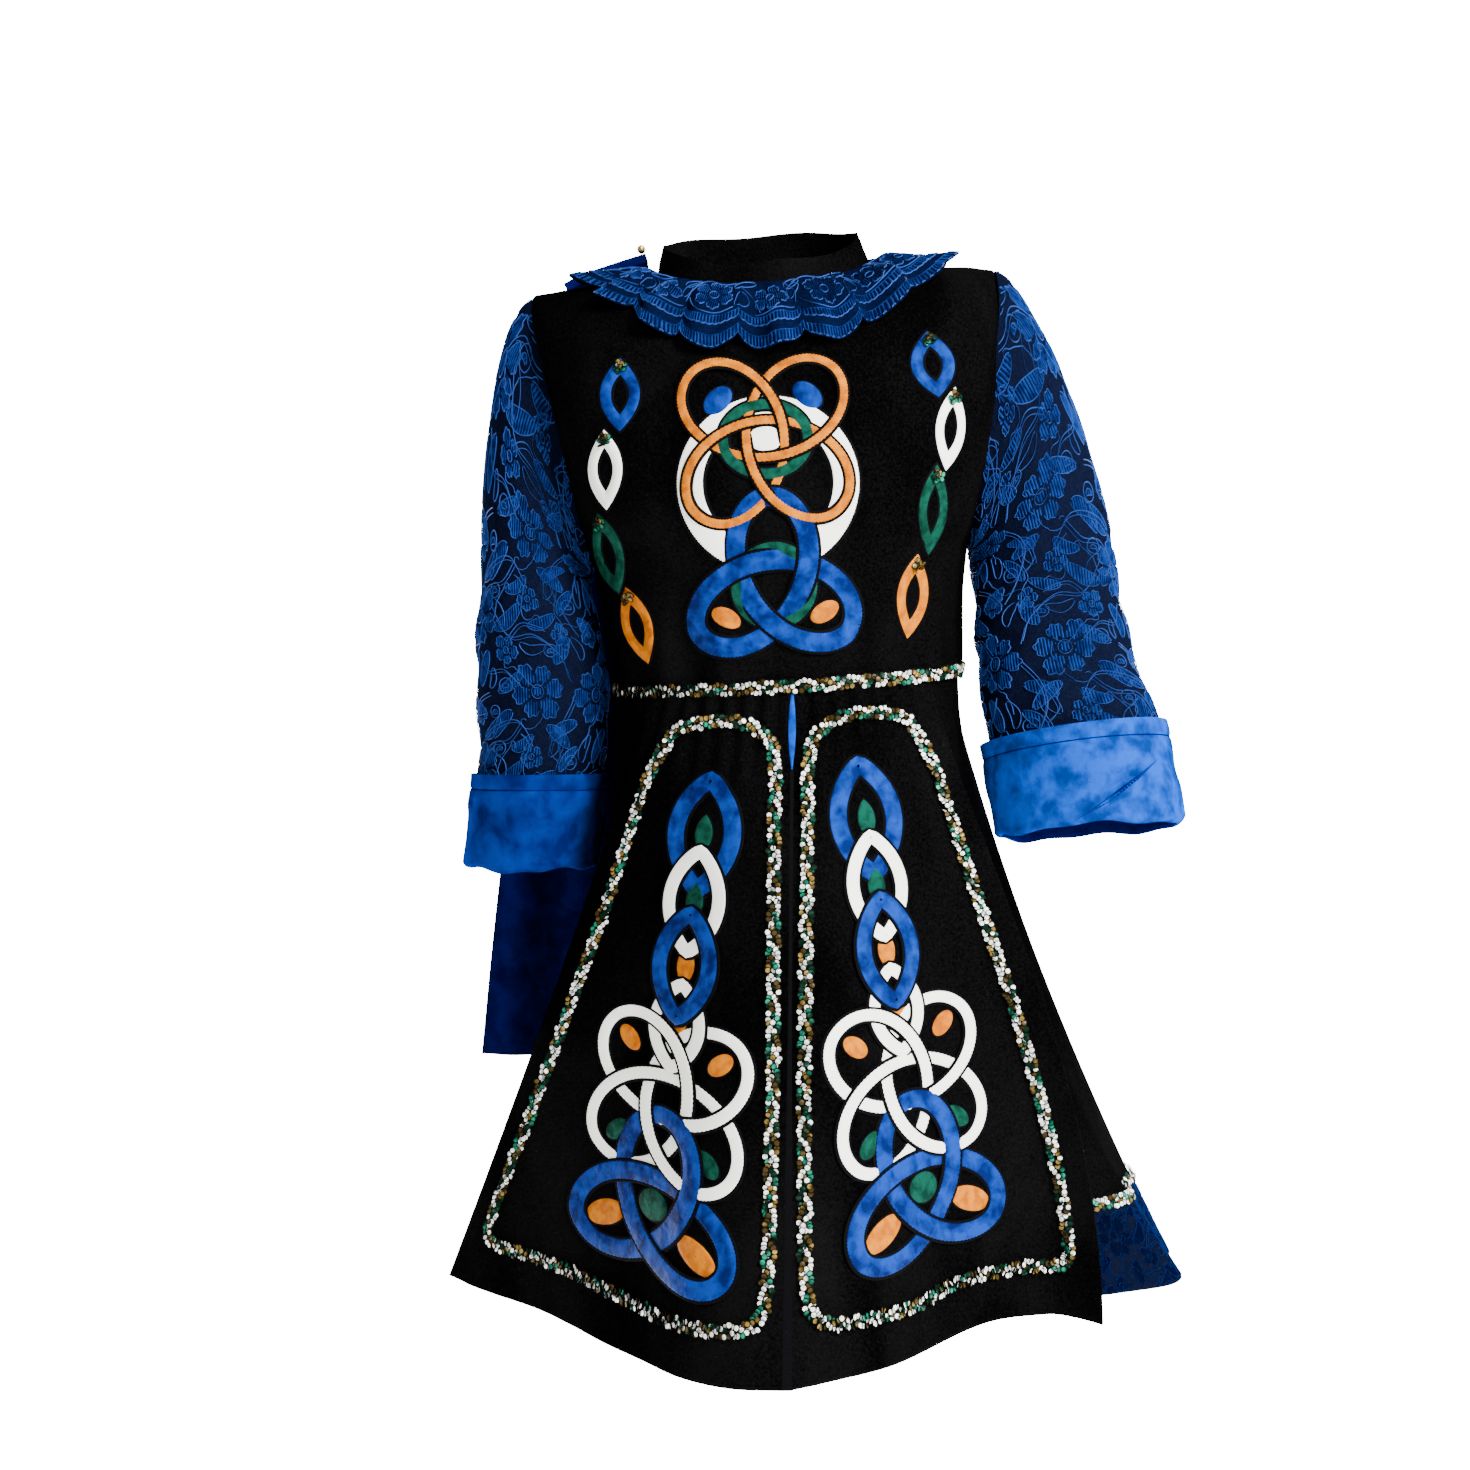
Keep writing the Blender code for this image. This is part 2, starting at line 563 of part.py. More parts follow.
def sewn_on(name, quads, tree, thick, material, gap):
    """Flat pieces merged where they cross, laid on the surface behind them and given their thickness."""
    corners = [corner for quad in quads for corner in quad]
    loops = [list(range(4 * k, 4 * k + 4)) for k in range(len(quads))]
    flat, _, faces, _, _, sources = delaunay_2d_cdt(corners, [], loops, 1, 1e-5, True)
    bm = bmesh.new()
    verts = [bm.verts.new(laid(tree, at.x, at.y, gap)) for at in flat]
    for face, source in zip(faces, sources):
        if source:
            bm.faces.new([verts[i] for i in face])
    bmesh.ops.delete(bm, geom=[vert for vert in verts if not vert.link_faces], context="VERTS")
    bmesh.ops.recalc_face_normals(bm, faces=bm.faces)
    if sum(face.normal.y * face.calc_area() for face in bm.faces) > 0:
        bmesh.ops.reverse_faces(bm, faces=bm.faces)
    mesh = bpy.data.meshes.new(name)
    bm.to_mesh(mesh)
    bm.free()
    piece = bpy.data.objects.new(name, mesh)
    mesh.materials.append(material)
    PARTS.objects.link(piece)
    wall = piece.modifiers.new("thickness", "SOLIDIFY")
    wall.thickness = thick
    wall.offset = 1
    return piece


def pointed_link(name, row, tree, material):
    """A pointed oval with a pointed hole, sewn on the bodice front."""
    top = leaned(row.top_side, 0, row.top_up)
    low = leaned(row.low_side, 0, row.low_up)
    middle, reach = (top + low) / 2, (top - low) / 2
    along_way = Vector((reach.x, reach.z))
    across = Vector((along_way.y, -along_way.x)).normalized() * row.half
    centre = Vector((middle.x, middle.z))
    count = 7
    outer, inner = [], []
    for k in range(2 * count):
        hand = 1 if k < count else -1
        t = mix(1, -1, (k % count) / count) * hand
        bulge = hand * (1 - t * t)
        outer.append(centre + along_way * t + across * bulge)
        inner.append(centre + along_way * t * 0.52 + across * bulge * LINK_HOLE)
    sewn_on(name, quads_between(outer, inner, True), tree, APPLIQUE, material, LINK_GAP)


def sampled(path, length_step, closed):
    """Points along a function of 0 to 1, about `length_step` apart."""
    fine = [path(k / 400) for k in range(401)]
    runs = [(b - a).length for a, b in zip(fine, fine[1:])]
    total = sum(runs)
    count = max(6, round(total / length_step))
    marks = [total * k / count for k in range(count if closed else count + 1)]
    out, gone, k = [], 0.0, 0
    for mark in marks:
        while k < 399 and gone + runs[k] < mark:
            gone += runs[k]
            k += 1
        out.append(fine[k].lerp(fine[k + 1], min(1.0, (mark - gone) / runs[k])))
    return out


def smooth_loop(points, step, closed=True):
    """A smooth line through a few points."""
    count = len(points)
    spans = count if closed else count - 1

    def at(t):
        s = t * spans
        k = min(spans - 1, int(s))
        f = s - k
        pick = [points[(k + i) % count] if closed else points[min(count - 1, max(0, k + i))] for i in (-1, 0, 1, 2)]
        a, b, c, d = [Vector(p) for p in pick]
        return 0.5 * ((2 * b) + (c - a) * f + (2 * a - 5 * b + 4 * c - d) * f * f + (3 * b - a - 3 * c + d) * f ** 3)

    return sampled(at, step, closed)


def knot(row, middle, turn):
    """A closed knot with round loops: a small circle rolling inside a larger one."""
    big, small = (row.reach + row.inner) / 2, (row.reach - row.inner) / 2

    def at(t):
        a = t * tau
        x = big * cos(a) + small * cos((row.loops - 1) * a)
        y = big * sin(a) - small * sin((row.loops - 1) * a)
        return middle + Vector((x * cos(turn) - y * sin(turn), x * sin(turn) + y * cos(turn)))

    return sampled(at, KNOT_STEP, True)


def ring(row, middle):
    """An oval."""

    def at(t):
        return middle + Vector((row.wide * cos(t * tau), row.tall * sin(t * tau)))

    return sampled(at, RING_STEP, True)


def paint(name, colour, rough, metal=0.0):
    material = bpy.data.materials.new(name)
    material.use_nodes = True
    shader = material.node_tree.nodes["Principled BSDF"]
    shader.inputs["Base Color"].default_value = (*colour, 1)
    shader.inputs["Roughness"].default_value = rough
    shader.inputs["Metallic"].default_value = metal
    return material


def spine(u, v):
    return leaned(0, 0, 0.2)


def body_columns():
    """Columns of the bodice from side seam to side seam, with the neck's own columns in the middle."""
    neck = NECK_HALF / SHOULDER_HALF
    inner = [asin(neck * sin(radians(a))) for a in steps(NECK_COLUMNS, -90, 90)]
    outer = steps(SHOULDER_COLUMNS, asin(neck), pi / 2 - radians(SIDE_SEAM_TURN))[1:]
    return [-a for a in outer[::-1]] + inner + outer


def make_bodice(wool):
    turns = body_columns()
    rows = steps(BODICE_ROWS)
    low = SEAM / 2 / SHOULDER_UP

    def front(u, v):
        return body_point(u, mix(low, 1, v), True) + Vector((0, -SEAM / 2, 0))

    def back(u, v):
        return body_point(u, mix(low, 1, v), False) + Vector((0, SEAM / 2, 0))

    def before_seam(place):
        return Vector((place.x, min(place.y, -SEAM / 2), place.z))

    def behind_seam(place):
        return Vector((place.x, max(place.y, SEAM / 2), place.z))

    cloth_wall("bodice_front", front, turns, rows, WOOL, wool, spine, keep=before_seam)
    half = len(turns) // 2
    right = turns[:half] + [-BACK_CENTRE_GAP]
    left = [BACK_CENTRE_GAP] + turns[half + 1:]
    cloth_wall("bodice_back_right", back, right, rows, WOOL, wool, spine, keep=behind_seam)
    cloth_wall("bodice_back_left", back, left, rows, WOOL, wool, spine, keep=behind_seam)


def make_collar(wool, lace):
    turns = [tau * k / (2 * NECK_COLUMNS) for k in range(2 * NECK_COLUMNS)]
    cloth_wall("collar_band", collar_point, turns, steps(2), WOOL, wool, lambda u, v: leaned(0, 0, 0.38), closed=True)

    shells = [
        (surface_of(bpy.data.objects["bodice_front"]), Vector((0, -OFF_SEAM, 0))),
        (surface_of(bpy.data.objects["bodice_back_right"]), Vector((-OFF_SEAM, OFF_SEAM, 0))),
        (surface_of(bpy.data.objects["bodice_back_left"]), Vector((OFF_SEAM, OFF_SEAM, 0))),
    ]
    heart = leaned(0, 0, RUFFLE_HEART_UP)

    def ruffle(u, v):
        around = u % tau
        half_turn = around if around <= pi else tau - around
        hand = 1 if around <= pi else -1
        side, y, up = neck_ring(around, grow=RUFFLE_NECK_GROW)
        start = leaned(side, y, up + RUFFLE_START)
        mark = half_turn * 180 / pi
        goal = leaned(hand * along(RUFFLE_EDGE, "side", mark), along(RUFFLE_EDGE, "y", mark),
                      along(RUFFLE_EDGE, "up", mark))
        target = start.lerp(goal, mix(0.20, 1.0 + 0.05 * cos(RUFFLE_WAVES * around), v))
        if v <= 0:
            return start
        ray = (target - heart).normalized()
        reach = 0.0
        for tree, aside in shells:
            aim = (target + aside - heart).normalized()
            hit = tree.ray_cast(heart + aim * 0.5, -aim, 0.5)[0]
            if hit is not None:
                reach = max(reach, (hit - heart).length)
        clear = RUFFLE_CLEAR + RUFFLE_FLUTE * v * cos(RUFFLE_WAVES * around + 1.1)
        return heart + ray * (reach + clear)

    turns = [tau * k / RUFFLE_COLUMNS for k in range(RUFFLE_COLUMNS)]
    cloth_wall("collar_ruffle", ruffle, turns, RUFFLE_ROWS, LACE, lace, lambda u, v: heart, closed=True)


def make_sleeve(side, hand, lace, satin):
    table = ARM_LEFT if hand > 0 else ARM_RIGHT
    turns = [tau * k / SLEEVE_COLUMNS for k in range(SLEEVE_COLUMNS)]
    rows = [0.0, 0.05, 0.12, 0.20, 0.29, 0.42, 0.58, 0.76, 0.88, 0.995]

    def middle(u, v):
        if v >= 0.3:
            return Vector([along(table, axis, v) for axis in "xyz"])
        return Vector([along(table, axis, 0.3) for axis in "xyz"]).lerp(leaned(hand * 0.19, 0, 0.237), 1 - v / 0.3)

    cloth_wall(f"sleeve_{side}", lambda u, v: sleeve_point(u, v, hand), turns, rows, WOOL, lace, middle, closed=True)

    profile = [0.0, 0.39, 0.78, 0.81, 0.84, 0.87, 0.90, 1.0]

    def cuff_core(u, v):
        if v < 0.78:
            return arm_ring(u, 1.0, hand, -0.03)
        if v <= 0.90:
            return arm_ring(u, 1.0, hand, 0.0005, drop=-0.004)
        return arm_ring(u, 0.97, hand, 0.02)

    cloth_wall(f"cuff_{side}", lambda u, v: cuff_point(u, v, hand), turns, profile, SATIN, satin, cuff_core,
               closed=True)


def make_skirt(wool, satin, lace):
    rows = steps(SKIRT_ROWS, 0.0006, 1.0)

    def behind(u, v):
        return Vector((0, 10, 0))

    def inside(u, v):
        return Vector((0.02, 0.06, -0.6))

    for side, left in (("right", False), ("left", True)):
        def panel(u, v, left=left):
            return panel_point(u, v, left)

        cloth_wall(f"skirt_front_{side}", panel, SKIRT_COLUMNS, rows, WOOL, wool, behind)
        lining_rows = [row for row in rows if row > 0.05][:-1] + [1.003]
        cloth_wall(f"skirt_lining_{side}", panel, SKIRT_COLUMNS, lining_rows, LACE, satin, behind, lift=-WOOL - SEAM)

    def inset(u, v):
        across = abs(u)
        left = u > 0
        deep = PLEAT_DEEP + PLEAT_DEEPER * v
        return panel_point(across, v, left) + Vector((0, deep, 0))

    columns = [-0.16, -0.10, -0.05, 0.0, 0.05, 0.10, 0.16]
    cloth_wall("pleat_inset", inset, columns, steps(8, 0.012, 0.985), SATIN, satin, behind)

    back_columns = steps(BACK_COLUMNS)
    cloth_wall("skirt_back", back_point, back_columns, BACK_ROWS, WOOL, wool, inside)
    band_rows = [LACE_BAND_FROM + 0.004, 0.998]
    flat_back = between_rows(back_point, BACK_ROWS)
    cloth_wall("hem_lace_band", flat_back, back_columns, band_rows, LACE, lace, inside, lift=LACE + 0.0004)


def between_rows(skin, rows):
    """A skin read straight between the rows of its wall, so that what lies on it follows its flat faces."""

    def at(u, v):
        k = max(i for i in range(len(rows) - 1) if rows[i] <= v + 1e-9 or i == 0)
        t = (v - rows[k]) / (rows[k + 1] - rows[k])
        return skin(u, rows[k]).lerp(skin(u, rows[k + 1]), t)

    return at


def make_trims(braid):
    def around_waist(u, v):
        up = mix(0.0065, -0.0065, v)
        base = waist_point(u)
        out = Vector((sin(u), -cos(u), 0))
        flare = 0.0009 + (0.0011 if up > 0 else 0.0022) * abs(up) / 0.0065
        return base + Vector((0, 0, up)) + out * (flare + BRAID_THICK)

    turns = [tau * k / WAIST_COLUMNS for k in range(WAIST_COLUMNS)]
    cloth_wall("waist_trim", around_waist, turns, [0.0, 0.5, 1.0], BRAID_THICK, braid,
               lambda u, v: leaned(0, 0, 0), closed=True)

    hem_rows = [LACE_BAND_FROM - 0.018, LACE_BAND_FROM, LACE_BAND_FROM + 0.003]
    cloth_wall("hem_trim", between_rows(back_point, BACK_ROWS), steps(BACK_COLUMNS), hem_rows, BRAID_THICK, braid,
               lambda u, v: Vector((0.02, 0.06, -0.6)), lift=BRAID_THICK + 0.0005)

    for side in ("right", "left"):
        panel = surface_of(bpy.data.objects[f"skirt_front_{side}"])
        places = [panel_point(row.across, row.down, side == "left") for row in BORDER]
        line = smooth_loop([(place.x, place.z) for place in places], BRAID_STEP)
        quads = strand_quads([Strand(line, BRAID_WIDTH, True)])
        sewn_on(f"panel_trim_{side}", quads, panel, BRAID_THICK, braid, TRIM_GAP)


def make_emblem(front, satin):
    """A broad ring and two knots, merged where they cross."""
    here = leaned(EMBLEM_SIDE, 0, EMBLEM_UP)
    up = Vector((-sin(LEAN), cos(LEAN)))
    middle = Vector((here.x, here.z))
    strands = [Strand(ring(EMBLEM_RING, middle + up * EMBLEM_RING.up), EMBLEM_RING.width, True)]
    for row in EMBLEM_KNOTS:
        turn = pi / 2 + LEAN + radians(row.turn)
        strands.append(Strand(knot(row, middle + up * row.up, turn), row.width, True))
    sewn_on("bodice_emblem", strand_quads(strands), front, APPLIQUE, satin, EMBLEM_GAP)


def pointed_loop(top, low, half):
    """A loop with a point at each end."""
    centre, reach = (top + low) / 2, (top - low) / 2
    across = Vector((reach.y, -reach.x)).normalized() * half
    line = []
    for k in range(2 * LOOP_SIDE):
        hand = 1 if k < LOOP_SIDE else -1
        t = mix(1, -1, (k % LOOP_SIDE) / LOOP_SIDE) * hand
        line.append(centre + reach * t + across * hand * (1 - t * t) ** LOOP_FULL)
    return line


def make_motif(side, panel, satin):
    """Pointed loops down the panel into a four-loop knot and a three-loop knot."""
    top, low = Vector(MOTIF_TOP[side]), Vector(MOTIF_LOW[side])
    down = (low - top).normalized()
    upright = atan2(-down.y, -down.x)
    strands = [Strand(pointed_loop(top + down * row.start, top + down * row.stop, row.half), row.width, True)
               for row in MOTIF_LOOPS]
    for row in MOTIF_KNOTS:
        strands.append(Strand(knot(row, top - down * row.up, upright + radians(row.turn)), row.width, True))
    sewn_on(f"panel_motif_{side}", strand_quads(strands), panel, APPLIQUE, satin, MOTIF_GAP)


def make_appliques(colours):
    front = surface_of(bpy.data.objects["bodice_front"])
    for side, rows in (("right", LINKS_RIGHT), ("left", LINKS_LEFT)):
        for row in rows:
            pointed_link(f"link_{row.colour}_{side}", row, front, colours[row.colour])
    make_emblem(front, colours["ivory"])
    for side in ("right", "left"):
        make_motif(side, surface_of(bpy.data.objects[f"skirt_front_{side}"]), colours["blue"])


def make_cape(satin, metal):
    trees = [surface_of(bpy.data.objects[name]) for name in ("bodice_back_right", "bodice_back_left")]

    def shawl(u, v):
        return cleared(cape_point(u, v), trees, CAPE_CLEAR) if v > 0 else cape_point(u, v)

    rows = [0.0, 0.03, 0.06, 0.11, 0.18, 0.30, 0.45, 0.62, 0.80, 1.0]
    cloth_wall("cape", shawl, steps(20), rows, SATIN, satin, lambda u, v: Vector((0.0, 0.0, -0.4)))

    curve = bpy.data.curves.new("cape_roll", "CURVE")
    curve.dimensions = "3D"
    curve.bevel_depth = ROLL_RADIUS
    curve.bevel_resolution = 2
    curve.use_fill_caps = True
    line = curve.splines.new("POLY")
    line.points.add(6)
    for k, point in enumerate(line.points):
        point.co = (*roll_point(k / 6), 1)
    roll = bpy.data.objects.new("cape_roll", curve)
    curve.materials.append(satin)
    PARTS.objects.link(roll)

    bm = bmesh.new()
    bead = 0.0042
    off = 0.0007
    bmesh.ops.create_uvsphere(bm, u_segments=12, v_segments=8, radius=bead)
    seat = roll_point(0.93) + Vector((0, 0, ROLL_RADIUS + bead + off))
    bmesh.ops.translate(bm, verts=bm.verts, vec=seat)
    finish("cape_fastening", bm, metal)


def main():
    for thing in list(bpy.data.objects):
        bpy.data.objects.remove(thing)
    wool = paint("black wool", (0.012, 0.011, 0.012), 0.85)
    satin = paint("royal blue satin", (0.012, 0.115, 0.46), 0.32)
    lace = paint("royal blue lace", (0.010, 0.060, 0.30), 0.70)
    braid = paint("sequin braid", (0.55, 0.58, 0.42), 0.25, 0.4)
    make_bodice(wool)
    make_collar(wool, lace)
    make_sleeve("left", 1, lace, satin)
    make_sleeve("right", -1, lace, satin)
    make_skirt(wool, satin, lace)
    make_trims(braid)
    colours = {
        "blue": satin,
        "ivory": paint("ivory satin", (0.76, 0.75, 0.68), 0.40),
        "green": paint("green satin", (0.010, 0.110, 0.065), 0.40),
        "orange": paint("orange satin", (0.80, 0.25, 0.06), 0.40),
    }
    make_appliques(colours)
    make_cape(satin, paint("gilt metal", (0.70, 0.50, 0.20), 0.30, 1.0))


PARTS = bpy.data.collections.new("step_dance_dress")
bpy.context.scene.collection.children.link(PARTS)
main()
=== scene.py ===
"""Looks of the step dance dress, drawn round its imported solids.

Metres, +Z up, the front looks along -Y and +X is the wearer's left. The cut of every cloth wall is the same
function as in the part's source; here it is drawn finer, with its folds, lace, stitching and sequins.
"""

import bpy
import numpy as np
from collections import namedtuple
from math import cos, pi, radians, sin, sqrt, tau
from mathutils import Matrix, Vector, noise
from mathutils.bvhtree import BVHTree


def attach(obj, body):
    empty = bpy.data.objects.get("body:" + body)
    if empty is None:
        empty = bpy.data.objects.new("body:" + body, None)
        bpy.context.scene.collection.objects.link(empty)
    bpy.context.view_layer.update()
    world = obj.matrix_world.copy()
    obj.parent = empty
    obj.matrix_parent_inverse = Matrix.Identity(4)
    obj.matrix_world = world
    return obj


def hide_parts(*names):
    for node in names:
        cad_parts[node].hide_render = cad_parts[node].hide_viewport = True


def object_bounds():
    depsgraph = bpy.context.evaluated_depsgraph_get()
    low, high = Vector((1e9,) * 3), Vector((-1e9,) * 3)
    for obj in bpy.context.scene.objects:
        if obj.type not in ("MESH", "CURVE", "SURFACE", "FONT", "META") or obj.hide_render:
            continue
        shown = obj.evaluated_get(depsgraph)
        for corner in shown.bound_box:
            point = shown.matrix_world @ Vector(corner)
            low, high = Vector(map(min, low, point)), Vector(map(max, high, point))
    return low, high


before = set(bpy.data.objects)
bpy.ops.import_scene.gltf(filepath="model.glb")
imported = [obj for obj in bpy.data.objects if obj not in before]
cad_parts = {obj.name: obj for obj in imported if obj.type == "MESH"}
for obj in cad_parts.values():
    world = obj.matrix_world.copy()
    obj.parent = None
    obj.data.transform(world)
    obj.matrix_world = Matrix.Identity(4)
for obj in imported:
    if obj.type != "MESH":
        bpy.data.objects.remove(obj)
CAD_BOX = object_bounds()


def table(columns, rows):
    """Rows of values whose columns have names."""
    kind = namedtuple("Row", columns)
    return [kind(*row) for row in rows]


SEAM = 0.0003  # gap between two sewn pieces
WOOL = 0.0018  # dress cloth with its interlining
SATIN = 0.0012
LACE = 0.0010

# The upper body leans towards the wearer's right, about the middle of the waist.
LEAN = radians(3.5)
WAIST = Vector((0.0194, 0.0, -0.370))
WAIST_HALF = 0.156
WAIST_FRONT = 0.115
WAIST_BACK = 0.100
FRONT_DIP = 0.010  # the waist seam dips at the front

UNDERARM_UP = 0.112
SHOULDER_UP = 0.362
SHOULDER_HALF = 0.2115
ARMHOLE_MIDDLE = (SHOULDER_UP + UNDERARM_UP) / 2
ARMHOLE_HALF = (SHOULDER_UP - UNDERARM_UP) / 2
ARMHOLE_HALF_DEPTH = 0.055
NECK_HALF = 0.098
NECK_FRONT = 0.075
NECK_BACK = 0.070
NECK_UP = 0.376
NECK_DIP = 0.033  # the neckline falls at the front and rises at the back
NECK_RISE = 0.014
COLLAR_LIFT = 0.0015
SHOULDER_ROUND = 0.085  # height over which the front and back turn over to the shoulder

# Rings of the upper body: half width, depth to the front and the back, flatness of the front.
BODY = table("up half front back flat", [
    (0.000, 0.1560, 0.115, 0.100, 1.00),
    (0.050, 0.1615, 0.124, 0.106, 0.94),
    (0.112, 0.1720, 0.143, 0.114, 0.86),
    (0.165, 0.1815, 0.150, 0.121, 0.80),
    (0.220, 0.1905, 0.143, 0.125, 0.78),
    (0.270, 0.1995, 0.133, 0.124, 0.76),
    (0.320, 0.2080, 0.122, 0.118, 0.76),
    (0.362, SHOULDER_HALF, 0.112, 0.110, 0.76),
])

ARM_ROW = "down x y z half deep tilt nod"
# Rings of the sleeves, left and right of the wearer: middle, half width and depth, slant in degrees.
ARM_LEFT = table(ARM_ROW, [
    (0.30, 0.2510, -0.006, -0.262, 0.0635, 0.062, 9, 4),
    (0.45, 0.2560, -0.014, -0.310, 0.0660, 0.064, 9, 6),
    (0.65, 0.2620, -0.026, -0.360, 0.0700, 0.066, 8, 8),
    (0.82, 0.2745, -0.040, -0.421, 0.0755, 0.069, 7, 8),
    (1.00, 0.2870, -0.054, -0.504, 0.0790, 0.072, 4, 8),
])
ARM_RIGHT = table(ARM_ROW, [
    (0.30, -0.2135, 0.006, -0.280, 0.0500, 0.076, 2, 0),
    (0.45, -0.2095, 0.014, -0.335, 0.0575, 0.075, 1, 0),
    (0.65, -0.2075, 0.028, -0.400, 0.0590, 0.076, 0, 0),
    (0.82, -0.2125, 0.040, -0.458, 0.0560, 0.078, 0, 0),
    (1.00, -0.2230, 0.050, -0.542, 0.0575, 0.080, 0, 0),
])
CAP_END = 0.30
CUFF_TOP = 0.82  # the turned-back cuff covers the sleeve from here to its end
CUFF_TOP_OUT = 0.0085  # how far the turned-back cuff stands off the sleeve
CUFF_FOLD_OUT = 0.0055
CUFF_IN = -0.0035
CUFF_FOLD_DROP = 0.0036
CUFF_OUTSIDE = 0.78  # the cuff's profile is its outside up to this share, then its fold
CUFF_FOLDED = 0.90  # and its inside from here
CUFF_INSIDE = 0.045  # how far the cuff's facing goes up inside, as a share of the sleeve

PANEL_HALF_ANGLE = radians(52)  # each front skirt panel reaches this far round the waist
HEM_ROW = "across x y z"
# Hems of the wearer's right and left panel, from the centre front outwards.
HEM_RIGHT = table(HEM_ROW, [
    (0.00, 0.0105, -0.262, -0.9380),
    (0.14, -0.0326, -0.250, -0.9400),
    (0.27, -0.0721, -0.225, -0.9396),
    (0.38, -0.1044, -0.188, -0.9390),
    (0.52, -0.1468, -0.135, -0.9390),
    (0.61, -0.1747, -0.098, -0.9361),
    (0.71, -0.2053, -0.062, -0.9319),
    (0.84, -0.2459, -0.028, -0.9274),
    (1.00, -0.2934, 0.000, -0.9188),
])
HEM_LEFT = table(HEM_ROW, [
    (0.00, 0.0125, -0.262, -0.9380),
    (0.09, 0.0363, -0.252, -0.9360),
    (0.33, 0.1051, -0.205, -0.9350),
    (0.62, 0.1865, -0.116, -0.9285),
    (0.81, 0.2369, -0.078, -0.9310),
    (0.90, 0.2600, -0.076, -0.9320),
    (1.00, 0.2903, -0.102, -0.9345),
])
# Side and back skirt, by the angle round the waist; `late` flares only lower down.
HEM_BACK = table("turn x y z late", [
    (52, 0.2420, -0.052, -0.925, 1.30),
    (66, 0.3150, -0.022, -0.931, 1.75),
    (80, 0.3700, 0.020, -0.932, 1.85),
    (95, 0.3960, 0.075, -0.930, 1.55),
    (112, 0.3720, 0.160, -0.930, 1.20),
    (135, 0.2900, 0.245, -0.932, 1.05),
    (160, 0.1500, 0.300, -0.934, 1.05),
    (182, 0.0100, 0.314, -0.935, 1.05),
    (206, -0.1250, 0.285, -0.935, 1.05),
    (230, -0.2150, 0.215, -0.935, 1.20),
    (255, -0.2620, 0.130, -0.932, 1.80),
    (278, -0.2720, 0.060, -0.928, 2.30),
    (296, -0.2620, 0.016, -0.924, 2.00),
    (308, -0.2430, -0.004, -0.920, 1.30),
])
BACK_FLUTES = 9
BACK_FLUTE_DEEP = 0.011
LACE_BAND_FROM = 0.865  # the lace band starts this far down the side and back skirt

# Rows of the shawl, from the shoulder to its hem: its outer and inner edge, and the depth of its folds.
CAPE = table("down z x_out x_in y_out y_in fold", [
    (0.00, 0.0020, -0.182, -0.108, 0.0070, 0.0070, 0.0000),
    (0.06, -0.0060, -0.190, -0.104, 0.064, 0.068, 0.0010),
    (0.16, -0.0780, -0.200, -0.085, 0.130, 0.138, 0.0030),
    (0.34, -0.2300, -0.220, -0.050, 0.152, 0.160, 0.0050),
    (0.52, -0.3800, -0.243, -0.018, 0.163, 0.176, 0.0065),
    (0.75, -0.5600, -0.267, 0.018, 0.172, 0.222, 0.0080),
    (1.00, -0.7460, -0.287, 0.050, 0.182, 0.292, 0.0090),
])
CAPE_HEM_DROP = 0.055  # the hem falls lower towards the middle of the back
CAPE_FOLDS = 4.5
CAPE_CLEAR = 0.0150  # the shawl passes over the collar ruffle
ROLL_SIDES = (-0.182, -0.106)  # rolled satin edge of the shawl on the shoulder
ROLL_Y = 0.0015
ROLL_LIFTS = (0.0055, 0.0190)  # its outer end lies on the shoulder, the other on the ruffle

# Braid border of a front skirt panel, round its edge.
BORDER = table("across down", [
    (0.540, 0.050), (0.760, 0.066), (0.850, 0.130), (0.870, 0.210),
    (0.880, 0.355), (0.900, 0.530), (0.915, 0.715), (0.925, 0.870),
    (0.905, 0.918), (0.760, 0.922), (0.535, 0.924), (0.370, 0.930),
    (0.200, 0.926), (0.095, 0.915), (0.058, 0.870), (0.056, 0.730),
    (0.060, 0.560), (0.076, 0.380), (0.090, 0.210), (0.095, 0.130),
    (0.150, 0.080), (0.320, 0.054),
])

LINK_ROW = "colour top_side top_up low_side low_up half"
# Chain of pointed ovals down each side of the bodice front: the points of each, and its half width.
LINKS_RIGHT = table(LINK_ROW, [
    ("blue", -0.1306, 0.2819, -0.1346, 0.2159, 0.0180),
    ("ivory", -0.1481, 0.2211, -0.1506, 0.1515, 0.0160),
    ("green", -0.1600, 0.1530, -0.1455, 0.0807, 0.0140),
    ("orange", -0.1399, 0.0881, -0.1235, 0.0174, 0.0140),
])
LINKS_LEFT = table(LINK_ROW, [
    ("blue", 0.1340, 0.2890, 0.1406, 0.2292, 0.0200),
    ("ivory", 0.1559, 0.2403, 0.1428, 0.1663, 0.0140),
    ("green", 0.1355, 0.1736, 0.1247, 0.0960, 0.0135),
    ("orange", 0.1155, 0.0991, 0.1032, 0.0250, 0.0150),
])
LINK_HOLE = 0.40  # the hole's size as a share of the link's width
LINK_HOLE_LONG = 0.50  # and of its length
CLUSTER = 9  # sequins near the top of each link
CLUSTER_UP = 0.72
CLUSTER_STEP = 0.00182
CLUSTER_TURN = 2.4
CLUSTER_LIFT = 0.0030
CLUSTER_JITTER = 0.35
CLUSTER_LEAN = 0.2
EMBLEM_SIDE = -0.011
EMBLEM_UP = 0.150
# Top point and lowest middle of each panel's applique.
MOTIF_TOP = {"right": (-0.0490, -0.457), "left": (0.0755, -0.4435)}
MOTIF_LOW = {"right": (-0.1040, -0.864), "left": (0.1382, -0.866)}
